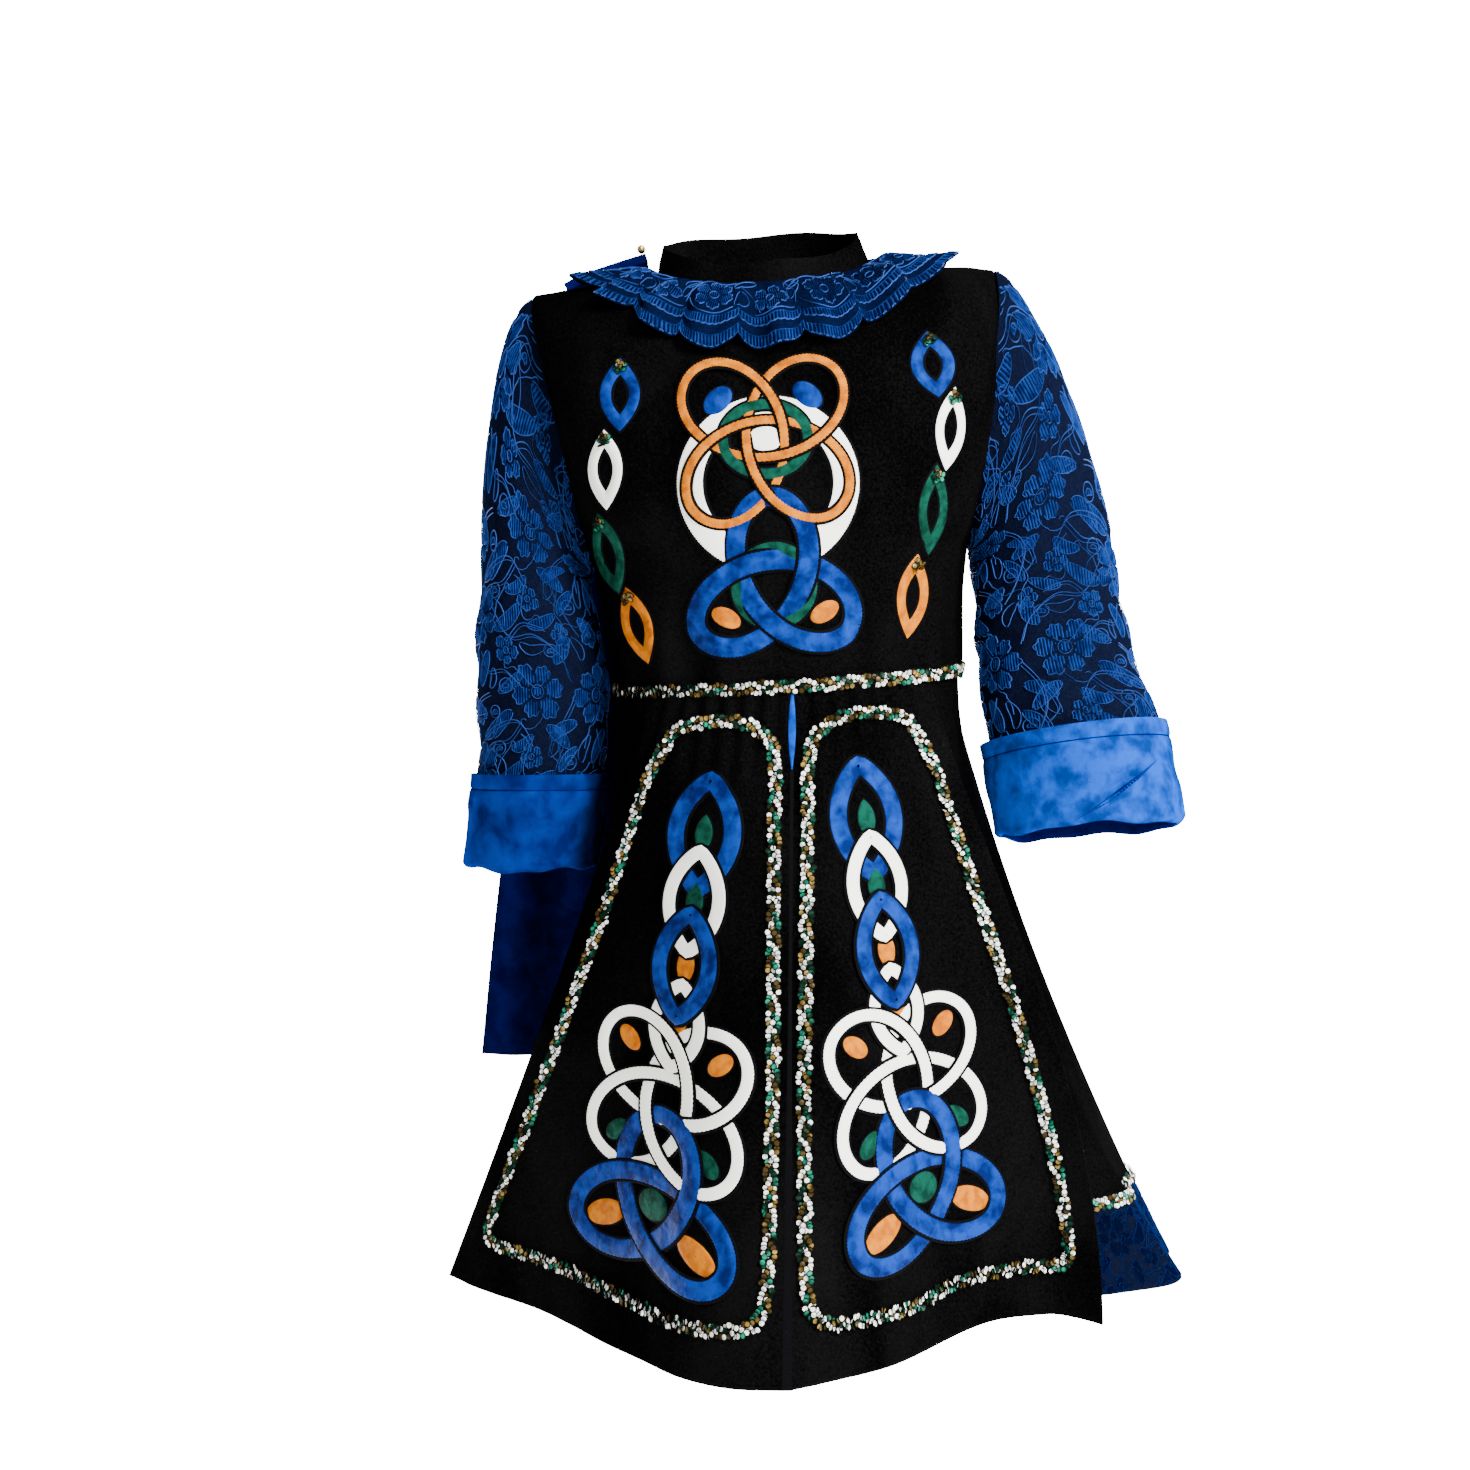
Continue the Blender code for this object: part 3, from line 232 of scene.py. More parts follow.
# Interlinked pointed loops down a panel, by their distance from its top point.
MOTIF_LOOPS = table("colour start stop half width fill", [
    ("blue", 0.004, 0.098, 0.0245, 0.0165, "green"),
    ("ivory", 0.066, 0.152, 0.0215, 0.0125, "green"),
    ("blue", 0.120, 0.208, 0.0215, 0.0145, "orange"),
    ("ivory", 0.180, 0.250, 0.0195, 0.0115, "orange"),
])
KNOT_ROW = "colour loops up reach inner turn width"
# Knots under the loops, by their height over the top point.
MOTIF_KNOTS = table(KNOT_ROW, [
    ("ivory", 4, -0.276, 0.078, -0.018, 45, 0.0110),
    ("blue", 3, -0.364, 0.073, -0.022, 0, 0.0160),
])
# The emblem's knots and rings, by their height over its middle.
EMBLEM_KNOTS = table(KNOT_ROW, [
    ("orange", 4, 0.049, 0.085, -0.016, 45, 0.0085),
    ("blue", 3, -0.074, 0.074, -0.022, 0, 0.0180),
])
EMBLEM_RINGS = table("colour up wide tall width", [
    ("ivory", 0.012, 0.066, 0.064, 0.0240),
    ("green", 0.049, 0.036, 0.030, 0.0105),
    ("green", -0.074, 0.032, 0.032, 0.0105),
])


def mix(a, b, t):
    return a + (b - a) * t


def ease(t):
    t = min(1.0, max(0.0, t))
    return t * t * (3 - 2 * t)


def curve(t, start, leave, end, arrive):
    """A cubic from start to end, with its slopes there."""
    return ((1 + 2 * t) * (1 - t) ** 2 * start + t * (1 - t) ** 2 * leave
            + t * t * (3 - 2 * t) * end + t * t * (t - 1) * arrive)


def along(rows, column, at):
    """One column of a table, read smoothly; the table's first column says where each row lies."""
    marks = [row[0] for row in rows]
    values = [getattr(row, column) for row in rows]
    at = min(marks[-1], max(marks[0], at))
    k = max(0, sum(mark <= at for mark in marks[:-1]) - 1)

    def slope(i):
        lo, hi = max(0, i - 1), min(len(marks) - 1, i + 1)
        return (values[hi] - values[lo]) / (marks[hi] - marks[lo])

    span = marks[k + 1] - marks[k]
    return curve((at - marks[k]) / span, values[k], span * slope(k), values[k + 1], span * slope(k + 1))


def place_in(rows, at):
    return Vector([along(rows, axis, at) for axis in "xyz"])


def leaned(side, y, up):
    """A point of the upright body, leaned to where it stands."""
    x = WAIST.x + cos(LEAN) * side - sin(LEAN) * up
    z = WAIST.z + sin(LEAN) * side + cos(LEAN) * up
    return Vector((x, y, z))


def neck_ring(turn, grow=0.0, lift=0.0):
    """Base of the neck, by the angle from the centre front."""
    forward = cos(turn)
    side = (NECK_HALF + grow) * sin(turn)
    if forward > 0:
        y = -(NECK_FRONT + grow) * forward
        up = NECK_UP - NECK_DIP * forward
    else:
        y = -(NECK_BACK + grow) * forward
        up = NECK_UP - NECK_RISE * forward
    return side, y, up + lift


def top_edge(side, front):
    """Upper edge of the bodice at a distance from the middle: neckline, then shoulder seam."""
    reach = abs(side)
    if reach < NECK_HALF:
        forward = sqrt(1 - (reach / NECK_HALF) ** 2)
        if front:
            return -NECK_FRONT * forward, NECK_UP - NECK_DIP * forward
        return NECK_BACK * forward, NECK_UP + NECK_RISE * forward
    t = (reach - NECK_HALF) / (SHOULDER_HALF - NECK_HALF)
    return 0.0, mix(NECK_UP, SHOULDER_UP, t)


def armhole_depth(up):
    return ARMHOLE_HALF_DEPTH * sqrt(max(0.0, 1 - ((up - ARMHOLE_MIDDLE) / ARMHOLE_HALF) ** 2))


def waist_dip(turn):
    return -FRONT_DIP * max(0.0, cos(turn))


def body_folds(across, up):
    """Soft gathers that rise from the waist seam of the bodice front."""
    rise = 0.0035 * (1 - ease(up / 0.12)) * ease((up - 0.008) / 0.03)
    return rise * sin(across * 4.3 * pi) * ease(abs(across) / 0.35)


def body_point(turn, t, front=True):
    """Bodice skin: `turn` from the wearer's right side seam to the other, t from the waist to the top."""
    across = sin(turn)
    side_guess = across * SHOULDER_HALF
    for _ in range(4):
        y_top, up_top = top_edge(side_guess, front)
        side_guess = across * along(BODY, "half", up_top)
    up_low = waist_dip(turn) if front else 0.0
    up = mix(up_low, up_top, t)
    side = across * along(BODY, "half", up)
    y_top, up_top = top_edge(side, front)
    depth = along(BODY, "front" if front else "back", up)
    edge = armhole_depth(up)
    flat = along(BODY, "flat", up)
    if front:
        depth += body_folds(across, up)
    y = edge + (depth - edge) * max(0.0, cos(turn)) ** flat
    over = min(1.0, max(0.0, (up_top - up) / SHOULDER_ROUND))
    round_off = sqrt(max(0.0, 1 - (1 - over) ** 2))
    y = mix(abs(y_top), y, round_off)
    return leaned(side, -y if front else y, up)


def waist_point(turn, below=0.0):
    depth = WAIST_FRONT if cos(turn) > 0 else WAIST_BACK
    return leaned(WAIST_HALF * sin(turn), -depth * cos(turn), waist_dip(turn) - below)


def panel_point(across, down, left):
    """Front skirt panel: `across` from the centre front outwards, `down` from the waist to the hem."""
    hand = 1 if left else -1
    edge = HEM_LEFT if left else HEM_RIGHT
    reach = across * sin(PANEL_HALF_ANGLE)
    turn = hand * Vector((sqrt(1 - reach * reach), reach)).angle_signed(Vector((1, 0)))
    top = waist_point(turn)
    hem = place_in(edge, across)
    middle = down ** 1.12
    outer = sin(down * pi / 2) ** 1.2 if left else down ** 1.08
    spread = mix(middle, outer, across)
    forward = mix(middle, down, across)
    return Vector((mix(top.x, hem.x, spread), mix(top.y, hem.y, forward), mix(top.z, hem.z, down)))


def back_point(t, down):
    """Side and back skirt: t from the wearer's left edge round the back to the right edge."""
    turn_deg = mix(51.4, 308.6, t)
    turn = radians(turn_deg)
    top = waist_point(turn)
    hem = place_in(HEM_BACK, turn_deg)
    inward = mix(0.0032, 0.010, ease(down / 0.25)) * (1 - ease(min(t, 1 - t) / 0.06))
    flute = BACK_FLUTE_DEEP * down ** 1.3 * ease(min(t, 1 - t) / 0.16) * cos(BACK_FLUTES * tau * t)
    out = Vector((sin(turn), -cos(turn), 0))
    spread = down ** along(HEM_BACK, "late", turn_deg)
    place = Vector((mix(top.x, hem.x, spread), mix(top.y, hem.y, spread), mix(top.z, hem.z, down)))
    return place + out * (flute - inward)


def armhole_point(turn, hand):
    """Ring of the armhole: 0 at the shoulder tip, a quarter turn at the front, half a turn under the arm."""
    up = ARMHOLE_MIDDLE + ARMHOLE_HALF * cos(turn)
    side = along(BODY, "half", up)
    return leaned(hand * (side + SEAM + 0.0002), -ARMHOLE_HALF_DEPTH * sin(turn), up)


def arm_ring(turn, down, hand, grow=0.0, drop=0.0):
    """Ring of the sleeve below the armhole, turned as the armhole is; `drop` moves it down the arm."""
    rings = ARM_LEFT if hand > 0 else ARM_RIGHT
    middle = place_in(rings, down)
    tilt, nod = radians(along(rings, "tilt", down)), radians(along(rings, "nod", down))
    across = Vector((hand * cos(tilt), 0, sin(tilt)))
    deep = Vector((0, -cos(nod), sin(nod)))
    half = along(rings, "half", down) + grow
    thick = along(rings, "deep", down) + grow
    down_arm = across.cross(deep).normalized() * hand
    return middle + across * half * cos(turn) + deep * thick * sin(turn) + down_arm * drop


def sleeve_point(turn, down, hand):
    """Sleeve skin: from the armhole over the cap to the arm's first ring, then down the arm."""
    if down >= CAP_END:
        return arm_ring(turn, down, hand)
    top = (1 + cos(turn)) / 2
    leave = Vector((hand * mix(0.012, 0.110, top), -0.012 * sin(turn), mix(-0.04, -0.025, top)))
    arrive = Vector((0.02 * hand, 0, -1)) * mix(0.04, 0.22, top)
    return curve(down / CAP_END, armhole_point(turn, hand), leave, arm_ring(turn, CAP_END, hand), arrive)


def cuff_point(turn, along_profile, hand):
    """Turned-back cuff: down the outside, round the fold, and a little way up inside the sleeve."""
    if along_profile < CUFF_OUTSIDE:
        t = along_profile / CUFF_OUTSIDE
        return arm_ring(turn, mix(CUFF_TOP, 1.0, t), hand, mix(CUFF_TOP_OUT, CUFF_FOLD_OUT, t))
    if along_profile < CUFF_FOLDED:
        t = (along_profile - CUFF_OUTSIDE) / (CUFF_FOLDED - CUFF_OUTSIDE)
        drop = CUFF_FOLD_DROP * sin(pi * t) ** 0.6
        return arm_ring(turn, 1.0, hand, mix(CUFF_FOLD_OUT, CUFF_IN, t), drop)
    t = (along_profile - CUFF_FOLDED) / (1 - CUFF_FOLDED)
    return arm_ring(turn, 1.0 - CUFF_INSIDE * t, hand, CUFF_IN)


def collar_point(turn, t):
    """Standing collar band: from the neckline up, leaning in, with a slightly wavy top."""
    wave = 0.0012 * sin(5 * turn + 0.6) * t
    tall = mix(0.023, 0.032, (1 - cos(turn)) / 2)
    side, y, up = neck_ring(turn, grow=-0.0085 * t, lift=COLLAR_LIFT + (tall + wave) * t)
    return leaned(side, y, up)


def roll_point(t):
    """Middle of the rolled satin edge, from the shoulder tip to the neck."""
    side = mix(*ROLL_SIDES, t)
    return leaned(side, ROLL_Y, top_edge(side, False)[1] + mix(*ROLL_LIFTS, t ** 0.65))


def cape_point(t, down):
    """Shawl: t from the outer edge to the edge near the spine, down from the shoulder to the hem."""
    drop = CAPE_HEM_DROP * down * ease(t)
    fold = along(CAPE, "fold", down) * cos(CAPE_FOLDS * tau * t + 0.4)
    x = mix(along(CAPE, "x_out", down), along(CAPE, "x_in", down), t)
    bow = 0.012 * sin(pi * t) * ease(down / 0.5)
    y = mix(along(CAPE, "y_out", down), along(CAPE, "y_in", down), t) + bow + fold
    start = roll_point(t)
    low = Vector((x, y, along(CAPE, "z", down) - drop))
    return Vector((mix(start.x, x, ease(down / 0.12)), y, mix(start.z, low.z, ease(down / 0.12))))


def cleared(place, trees, clear):
    """Push a point out behind and above the bodice's back, where it would come too near."""
    place = place.copy()
    for tree in trees:
        above = tree.ray_cast(place + Vector((0, 0, 0.2)), Vector((0, 0, -1)))[0]
        if above is not None and place.z < above.z + clear and above.y < 0.075:
            place.z = above.z + clear
        behind = tree.ray_cast(place + Vector((0, 0.3, 0)), Vector((0, -1, 0)))[0]
        if behind is not None and place.y < behind.y + clear:
            place.y = behind.y + clear
    return place


def axis_steps(count, start=0.0, stop=1.0):
    return list(np.linspace(start, stop, count + 1))


def round_steps(count):
    return axis_steps(count - 1, 0, tau * (count - 1) / count)


def unit(rows):
    return rows / np.maximum(1e-12, np.linalg.norm(rows, axis=-1, keepdims=True))


class Wall:
    """A fine grid of points on a skin, with normals that point away from a place inside it."""

    def __init__(self, skin, us, vs, inside, closed=False, relief=None):
        self.us, self.vs, self.closed = np.array(us), np.array(vs), closed
        points = np.array([[skin(u, v) for u in us] for v in vs])
        normals = self.normals_of(points, inside)
        if relief is not None:
            points = points + normals * np.array([[relief(u, v) for u in us] for v in vs])[..., None]
            normals = self.normals_of(points, inside)
        self.points, self.normals = points, normals

    def normals_of(self, points, inside):
        if self.closed:
            across = np.roll(points, -1, axis=1) - np.roll(points, 1, axis=1)
        else:
            across = np.gradient(points, axis=1)
        normals = unit(np.cross(across, np.gradient(points, axis=0)))
        return normals if (normals * (points - np.array(inside))).sum() > 0 else -normals

    def moved(self, out):
        self.points = self.points + self.normals * out
        return self

    def at(self, u, v, lift=0.0):
        """Points of the wall at arrays of u and v, lifted off it."""
        u, v = np.broadcast_arrays(np.asarray(u, float), np.asarray(v, float))
        rows = np.interp(v, self.vs, np.arange(len(self.vs)))
        if self.closed:
            columns = (u / tau * len(self.us)) % len(self.us)
        else:
            columns = np.interp(u, self.us, np.arange(len(self.us)))
        r = np.clip(np.floor(rows).astype(int), 0, len(self.vs) - 2)
        c = np.floor(columns).astype(int)
        c = c % len(self.us) if self.closed else np.clip(c, 0, len(self.us) - 2)
        d = (c + 1) % len(self.us)
        a = (rows - r)[..., None]
        b = (columns - np.floor(columns) if self.closed else columns - c)[..., None]
        out = []
        for grid in (self.points, self.normals):
            low = grid[r, c] * (1 - b) + grid[r, d] * b
            high = grid[r + 1, c] * (1 - b) + grid[r + 1, d] * b
            out.append(low * (1 - a) + high * a)
        return out[0] + out[1] * np.broadcast_to(np.asarray(lift, float), u.shape)[..., None]

    def tree(self):
        rows, columns = self.points.shape[:2]
        quads = grid_quads(rows, columns, self.closed)
        return BVHTree.FromPolygons(self.points.reshape(-1, 3).tolist(), quads.tolist())


def grid_quads(rows, columns, closed, start=0):
    """Corner numbers of the quads between the points of a grid."""
    r, c = np.meshgrid(np.arange(rows - 1), np.arange(columns if closed else columns - 1), indexing="ij")
    here, beside = r * columns + c, r * columns + (c + 1) % columns
    quads = np.stack([here, beside, beside + columns, here + columns], axis=-1)
    return quads.reshape(-1, 4) + start


SHARP_FROM = radians(50)


def mesh_piece(name, points, faces, materials, smooth=True, picks=None):
    """A named mesh that rides on the part. `picks` gives each face its own material."""
    mesh = bpy.data.meshes.new(name)
    faces = np.asarray(faces)
    sides = faces.shape[1]
    mesh.vertices.add(len(points))
    mesh.vertices.foreach_set("co", np.asarray(points, np.float32).ravel())
    mesh.loops.add(faces.size)
    mesh.loops.foreach_set("vertex_index", faces.ravel().astype(np.int32))
    mesh.polygons.add(len(faces))
    mesh.polygons.foreach_set("loop_start", np.arange(0, faces.size, sides, dtype=np.int32))
    for material in materials:
        mesh.materials.append(material)
    if picks is not None:
        mesh.polygons.foreach_set("material_index", np.asarray(picks, np.int32))
    mesh.update(calc_edges=True)
    mesh.validate()
    if smooth:
        mesh.shade_smooth()
        mesh.set_sharp_from_angle(angle=SHARP_FROM)
    thing = bpy.data.objects.new(name, mesh)
    bpy.context.scene.collection.objects.link(thing)
    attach(thing, "root")
    return thing


def strip_piece(name, rows, material, closed=False):
    """One sheet of faces between rows of points."""
    rows = np.array(rows)
    quads = grid_quads(rows.shape[0], rows.shape[1], closed)
    return mesh_piece(name, rows.reshape(-1, 3), quads, [material])


def cloth(name, wall, thick, material, keep=None):
    """The closed wall of cloth: the outer skin is the wall's grid, the inner one lies behind it."""
    outer = wall.points
    inner = wall.points - wall.normals * thick
    if keep is not None:
        inner = keep(inner)
    rows, columns = outer.shape[:2]
    size = rows * columns
    quads = [grid_quads(rows, columns, wall.closed), grid_quads(rows, columns, wall.closed, size)[:, ::-1]]

    def add_rim(here, beside, flip):
        rim = np.stack([here, beside, size + beside, size + here], axis=-1)
        quads.append(rim if flip else rim[:, ::-1])

    around = np.arange(columns if wall.closed else columns - 1)
    for row, flip in ((0, True), (rows - 1, False)):
        add_rim(row * columns + around, row * columns + (around + 1) % columns, flip)
    if not wall.closed:
        down = np.arange(rows - 1) * columns
        for column, flip in ((0, False), (columns - 1, True)):
            add_rim(down + column, down + columns + column, flip)
    points = np.concatenate([outer.reshape(-1, 3), inner.reshape(-1, 3)])
    faces = np.concatenate(quads)
    corner = outer[0, 0]
    if np.dot(np.cross(outer[0, 1] - corner, outer[1, 0] - corner), wall.normals[0, 0]) < 0:
        faces = faces[:, ::-1]
    return mesh_piece(name, points, faces, [material])


def shader(name, colour, rough, metal=0.0, shine=0.5, tint=(1, 1, 1)):
    material = bpy.data.materials.new(name)
    material.use_nodes = True
    inputs = material.node_tree.nodes["Principled BSDF"].inputs
    inputs["Base Color"].default_value = (*colour, 1)
    inputs["Roughness"].default_value = rough
    inputs["Metallic"].default_value = metal
    inputs["Specular IOR Level"].default_value = shine
    inputs["Specular Tint"].default_value = (*tint, 1)
    return material


def shader_node(material, kind, **values):
    """A new shader node with the values of its inputs."""
    made = material.node_tree.nodes.new("ShaderNode" + kind)
    for name, value in values.items():
        made.inputs[name].default_value = value
    return made


def own_space(material, stretch=(1, 1, 1)):
    """The place in the object's own space, squeezed along its axes."""
    place = shader_node(material, "TexCoord")
    squeeze = shader_node(material, "Mapping", Scale=stretch)
    material.node_tree.links.new(place.outputs["Object"], squeeze.inputs["Vector"])
    return squeeze.outputs["Vector"]


def cloud(material, scale, detail=3.0, stretch=(1, 1, 1), warp=0.0):
    grain = shader_node(material, "TexNoise", Scale=scale, Detail=detail, Distortion=warp)
    material.node_tree.links.new(own_space(material, stretch), grain.inputs["Vector"])
    return grain.outputs["Fac"]


def bumped(material, scale, strength, distance, detail=3.0, warp=0.0):
    """A noise bump, laid over the bump that the material has already."""
    links = material.node_tree.links
    bump = shader_node(material, "Bump", Strength=strength, Distance=distance)
    socket = material.node_tree.nodes["Principled BSDF"].inputs["Normal"]
    if socket.is_linked:
        links.new(socket.links[0].from_socket, bump.inputs["Normal"])
    links.new(cloud(material, scale, detail, warp=warp), bump.inputs["Height"])
    links.new(bump.outputs["Normal"], socket)
    return material


def toned(material, factor, dark, light, low=0.38, high=0.62):
    """Two tones of one colour, mixed by a pattern."""
    nodes, links = material.node_tree.nodes, material.node_tree.links
    ramp = shader_node(material, "ValToRGB")
    for k, (position, colour) in enumerate(((low, dark), (high, light))):
        ramp.color_ramp.elements[k].position = position
        ramp.color_ramp.elements[k].color = (*colour, 1)
    links.new(factor, ramp.inputs["Fac"])
    links.new(ramp.outputs["Color"], nodes["Principled BSDF"].inputs["Base Color"])
    return material


def both(material, first, second):
    """The mean of two patterns."""
    links = material.node_tree.links
    half, added = shader_node(material, "Math"), shader_node(material, "Math")
    half.operation, added.operation = "MULTIPLY", "MULTIPLY_ADD"
    for maths in (half, added):
        maths.inputs[1].default_value = 0.5
    links.new(first, half.inputs[0])
    links.new(second, added.inputs[0])
    links.new(half.outputs[0], added.inputs[2])
    return added.outputs[0]


NET_MESH = 0.0016


def netted(material, ground, thread):
    """A fine net: the edges between the cells are its threads."""
    cells = shader_node(material, "TexVoronoi", Scale=1 / NET_MESH)
    cells.feature = "DISTANCE_TO_EDGE"
    material.node_tree.links.new(own_space(material), cells.inputs["Vector"])
    return toned(material, cells.outputs["Distance"], thread, ground, 0.08, 0.20)


def crinkled_with_painted_sheen(material, dark, light, scale=42):
    """Satin with the fine creases of a washed cloth as bumps, and painted sheen: soft blotches of a dark and
    a light tone stand in for the satin's highlights and shade.
    """
    toned(material, cloud(material, scale, 5.0, warp=0.25), dark, light, 0.36, 0.62)
    bumped(material, scale * 0.8, 0.55, 0.004, detail=4.0, warp=0.4)
    return bumped(material, scale * 9, 0.25, 0.0008)


def twisted(material):
    return bumped(material, 1200, 0.8, 0.0008)


# Cloth colours, as linear values.
BLUE_SHINE = (0.01, 0.28, 1.0)
# The wool's tone mixes its fine grain with long soft vertical streaks; the streaks are painted light and
# shade of folds.
WOOL_BLACK = shader("wool", (0.0026, 0.0025, 0.0028), 0.85, shine=0.0)
bumped(bumped(WOOL_BLACK, 40, 0.3, 0.004), 900, 0.4, 0.0006)
toned(WOOL_BLACK, both(WOOL_BLACK, cloud(WOOL_BLACK, 500, 2.0), cloud(WOOL_BLACK, 9, 2.0, (1, 1, 0.45), 0.8)),
      (0.0005, 0.0005, 0.0006), (0.0032, 0.0031, 0.0033), 0.40, 0.64)
# The blue satins have no specular shine; the dark and light blotches of their tone are painted highlights and
# shade.
SATIN_BLUE = crinkled_with_painted_sheen(shader("satin_blue", (0.0, 0.03, 0.35), 0.45, shine=0.0),
                      (0.0, 0.018, 0.13), (0.0, 0.050, 0.36), 60)
# A darker copy of the same satin: painted shade, for the wearer's right cuff and for the shadow under the
# cuff's crease.
SATIN_BLUE_SHADED = crinkled_with_painted_sheen(shader("satin_blue_shaded", (0.0, 0.012, 0.15), 0.45, shine=0.0),
                     (0.001, 0.005, 0.060), (0.002, 0.019, 0.16), 34)
# A still darker copy of the satin: painted shade, for the shawl, its rolled edge, the inside of the cuffs and
# their seams.
SATIN_SHADE = crinkled_with_painted_sheen(shader("satin_blue_deep_shade", (0.0, 0.012, 0.12), 0.45, shine=0.0),
                       (0.0008, 0.0010, 0.028), (0.0012, 0.0028, 0.060))
SATIN_IVORY = shader("satin_ivory", (0.92, 0.91, 0.82), 0.5, shine=0.3)
bumped(bumped(SATIN_IVORY, 120, 0.35, 0.002), 900, 0.3, 0.0006)
# The satins of the appliques, by the colour's name; the dark and light tones of the blue, green and orange
# are painted sheen.
SATINS = {
    "blue": crinkled_with_painted_sheen(shader("applique_blue", (0.0, 0.03, 0.30), 0.42, shine=0.06, tint=BLUE_SHINE),
                     (0.0015, 0.006, 0.060), (0.0050, 0.032, 0.220), 70),
    "ivory": SATIN_IVORY,
    "green": crinkled_with_painted_sheen(shader("satin_green", (0.003, 0.045, 0.024), 0.5, shine=0.04, tint=(0.1, 1.0, 0.6)),
                      (0.0012, 0.018, 0.011), (0.0040, 0.050, 0.032), 110),
    "orange": crinkled_with_painted_sheen(shader("satin_orange", (0.45, 0.11, 0.004), 0.45, shine=0.05, tint=(1.0, 0.6, 0.2)),
                       (0.30, 0.070, 0.0005), (0.48, 0.140, 0.0015), 110),
}
STITCH = bumped(shader("stitching", (0.0016, 0.0016, 0.0020), 0.7, shine=0.02), 1500, 0.5, 0.0006)
NET = netted(shader("lace_net", (0.001, 0.002, 0.008), 0.8, shine=0.0),
             (0.0007, 0.0011, 0.0045), (0.0030, 0.0046, 0.0150))
RUFFLE_NET = netted(shader("ruffle_net", (0.001, 0.004, 0.04), 0.7, shine=0.0),
                    (0.0006, 0.0012, 0.0068), (0.0020, 0.0042, 0.0210))
THREAD = twisted(shader("lace_thread", (0.0, 0.02, 0.2), 0.6, shine=0.1, tint=BLUE_SHINE))
toned(THREAD, cloud(THREAD, 110, 3.0), (0.0012, 0.0065, 0.052), (0.0050, 0.0260, 0.140))
CORD = twisted(shader("lace_cord", (0.017, 0.046, 0.19), 0.6, shine=0.1, tint=BLUE_SHINE))
# Darker copies of the thread and cord for the lace band at the hem: painted shade.
THREAD_SHADE = twisted(shader("hem_lace_thread_shaded", (0.0005, 0.0020, 0.0200), 0.7, shine=0.0))
CORD_SHADE = twisted(shader("hem_lace_cord_shaded", (0.0025, 0.0120, 0.0750), 0.7, shine=0.0))
SEQUINS = [
    shader("sequin_pearl", (0.90, 0.92, 0.88), 0.25, shine=0.6),
    shader("sequin_green", (0.008, 0.24, 0.10), 0.25, metal=0.2, shine=0.1),
    shader("sequin_bronze", (0.42, 0.24, 0.07), 0.28, metal=0.2, shine=0.1),
    # painted shadow for the outer band of every disc
    shader("sequin_shadow_rim", (0.004, 0.004, 0.003), 0.8, shine=0.0),
]
PEARL, GREEN_DISC, BRONZE, SHADOW_RIM = range(4)
# Each disc colour mixes a dark and a light tone in patches: painted glints and shade.
for pick, grain, dark, light, low, high in (
    (PEARL, 260, (0.42, 0.48, 0.44), (0.95, 0.94, 0.86), 0.40, 0.52),
    (GREEN_DISC, 90, (0.0005, 0.014, 0.006), (0.006, 0.22, 0.13), 0.48, 0.66),
    (BRONZE, 90, (0.035, 0.022, 0.004), (0.30, 0.19, 0.04), 0.48, 0.70),
):
    toned(SEQUINS[pick], cloud(SEQUINS[pick], grain, 2.0), dark, light, low, high)
GILT = shader("gilt", (0.70, 0.48, 0.18), 0.25, metal=1.0)


def ripple(point, scale, seed=0.0):
    return noise.noise(Vector((point[0], point[1], seed)) * scale)


# Heights of the folds and ripples in each cloth.
FRONT_GATHER = 0.0040
COLLAR_DENT = 0.0024
ARMHOLE_FOLD = 0.0026
FRONT_RIPPLE = 0.0044
BACK_RIPPLE = 0.0026
COLLAR_WAVE = 0.0012
COLLAR_RIPPLE = 0.0008
RUFFLE_FOLD = 0.0100
RUFFLE_WAVE = 0.0030
RUFFLE_RIPPLE = 0.0050
SLEEVE_FOLD = 0.0010
SLEEVE_RIPPLE = 0.0034
CUFF_WAVE = 0.0018
CUFF_SEAM_DENT = 0.0014
CUFF_RIPPLE = 0.0024
PANEL_FOLD = 0.0042
PANEL_GATHER = 0.0020
PANEL_RIPPLE = 0.0040
SKIRT_RIPPLE = 0.0045
SHAWL_RIPPLE = 0.0030


# Bodice

def front_relief(turn, t):
    """Gathers over the waist, a dent under the collar's edge and slanting folds at the armholes."""
    across = sin(turn)
    off = abs(across)
    gather = (1 - ease(t / 0.36)) * ease(t / 0.02) * sin(across * 8.5 * pi + 1.3 * sin(across * 6))
    gather *= ease((off - 0.12) / 0.3)
    dent = np.exp(-((t - 0.80 + 0.05 * across) / 0.030) ** 2) * (1 - ease((off - 0.5) / 0.3))
    slant = sin(9 * t + 8 * off) * ease((off - 0.45) / 0.3) * (1 - ease((t - 0.6) / 0.2))
    wave = ripple((across, t), 4.5)
    return FRONT_GATHER * gather - COLLAR_DENT * dent + ARMHOLE_FOLD * slant + FRONT_RIPPLE * wave


LOW = SEAM / 2 / SHOULDER_UP  # the bodice starts half a seam over the waist
SIDE = pi / 2 - radians(0.055)  # its side edges, by the angle from the centre
CHEST = leaned(0, 0, 0.2)


def bodice_skin(front):
    def skin(turn, t):
        return body_point(turn, mix(LOW, 1, t), front) + Vector((0, -SEAM / 2 if front else SEAM / 2, 0))
    return skin


def kept_by(choose, y):
    """Keeps the inside of a cloth on its own side of the side seams."""
    return lambda points: np.stack([points[..., 0], choose(points[..., 1], y), points[..., 2]], axis=-1)


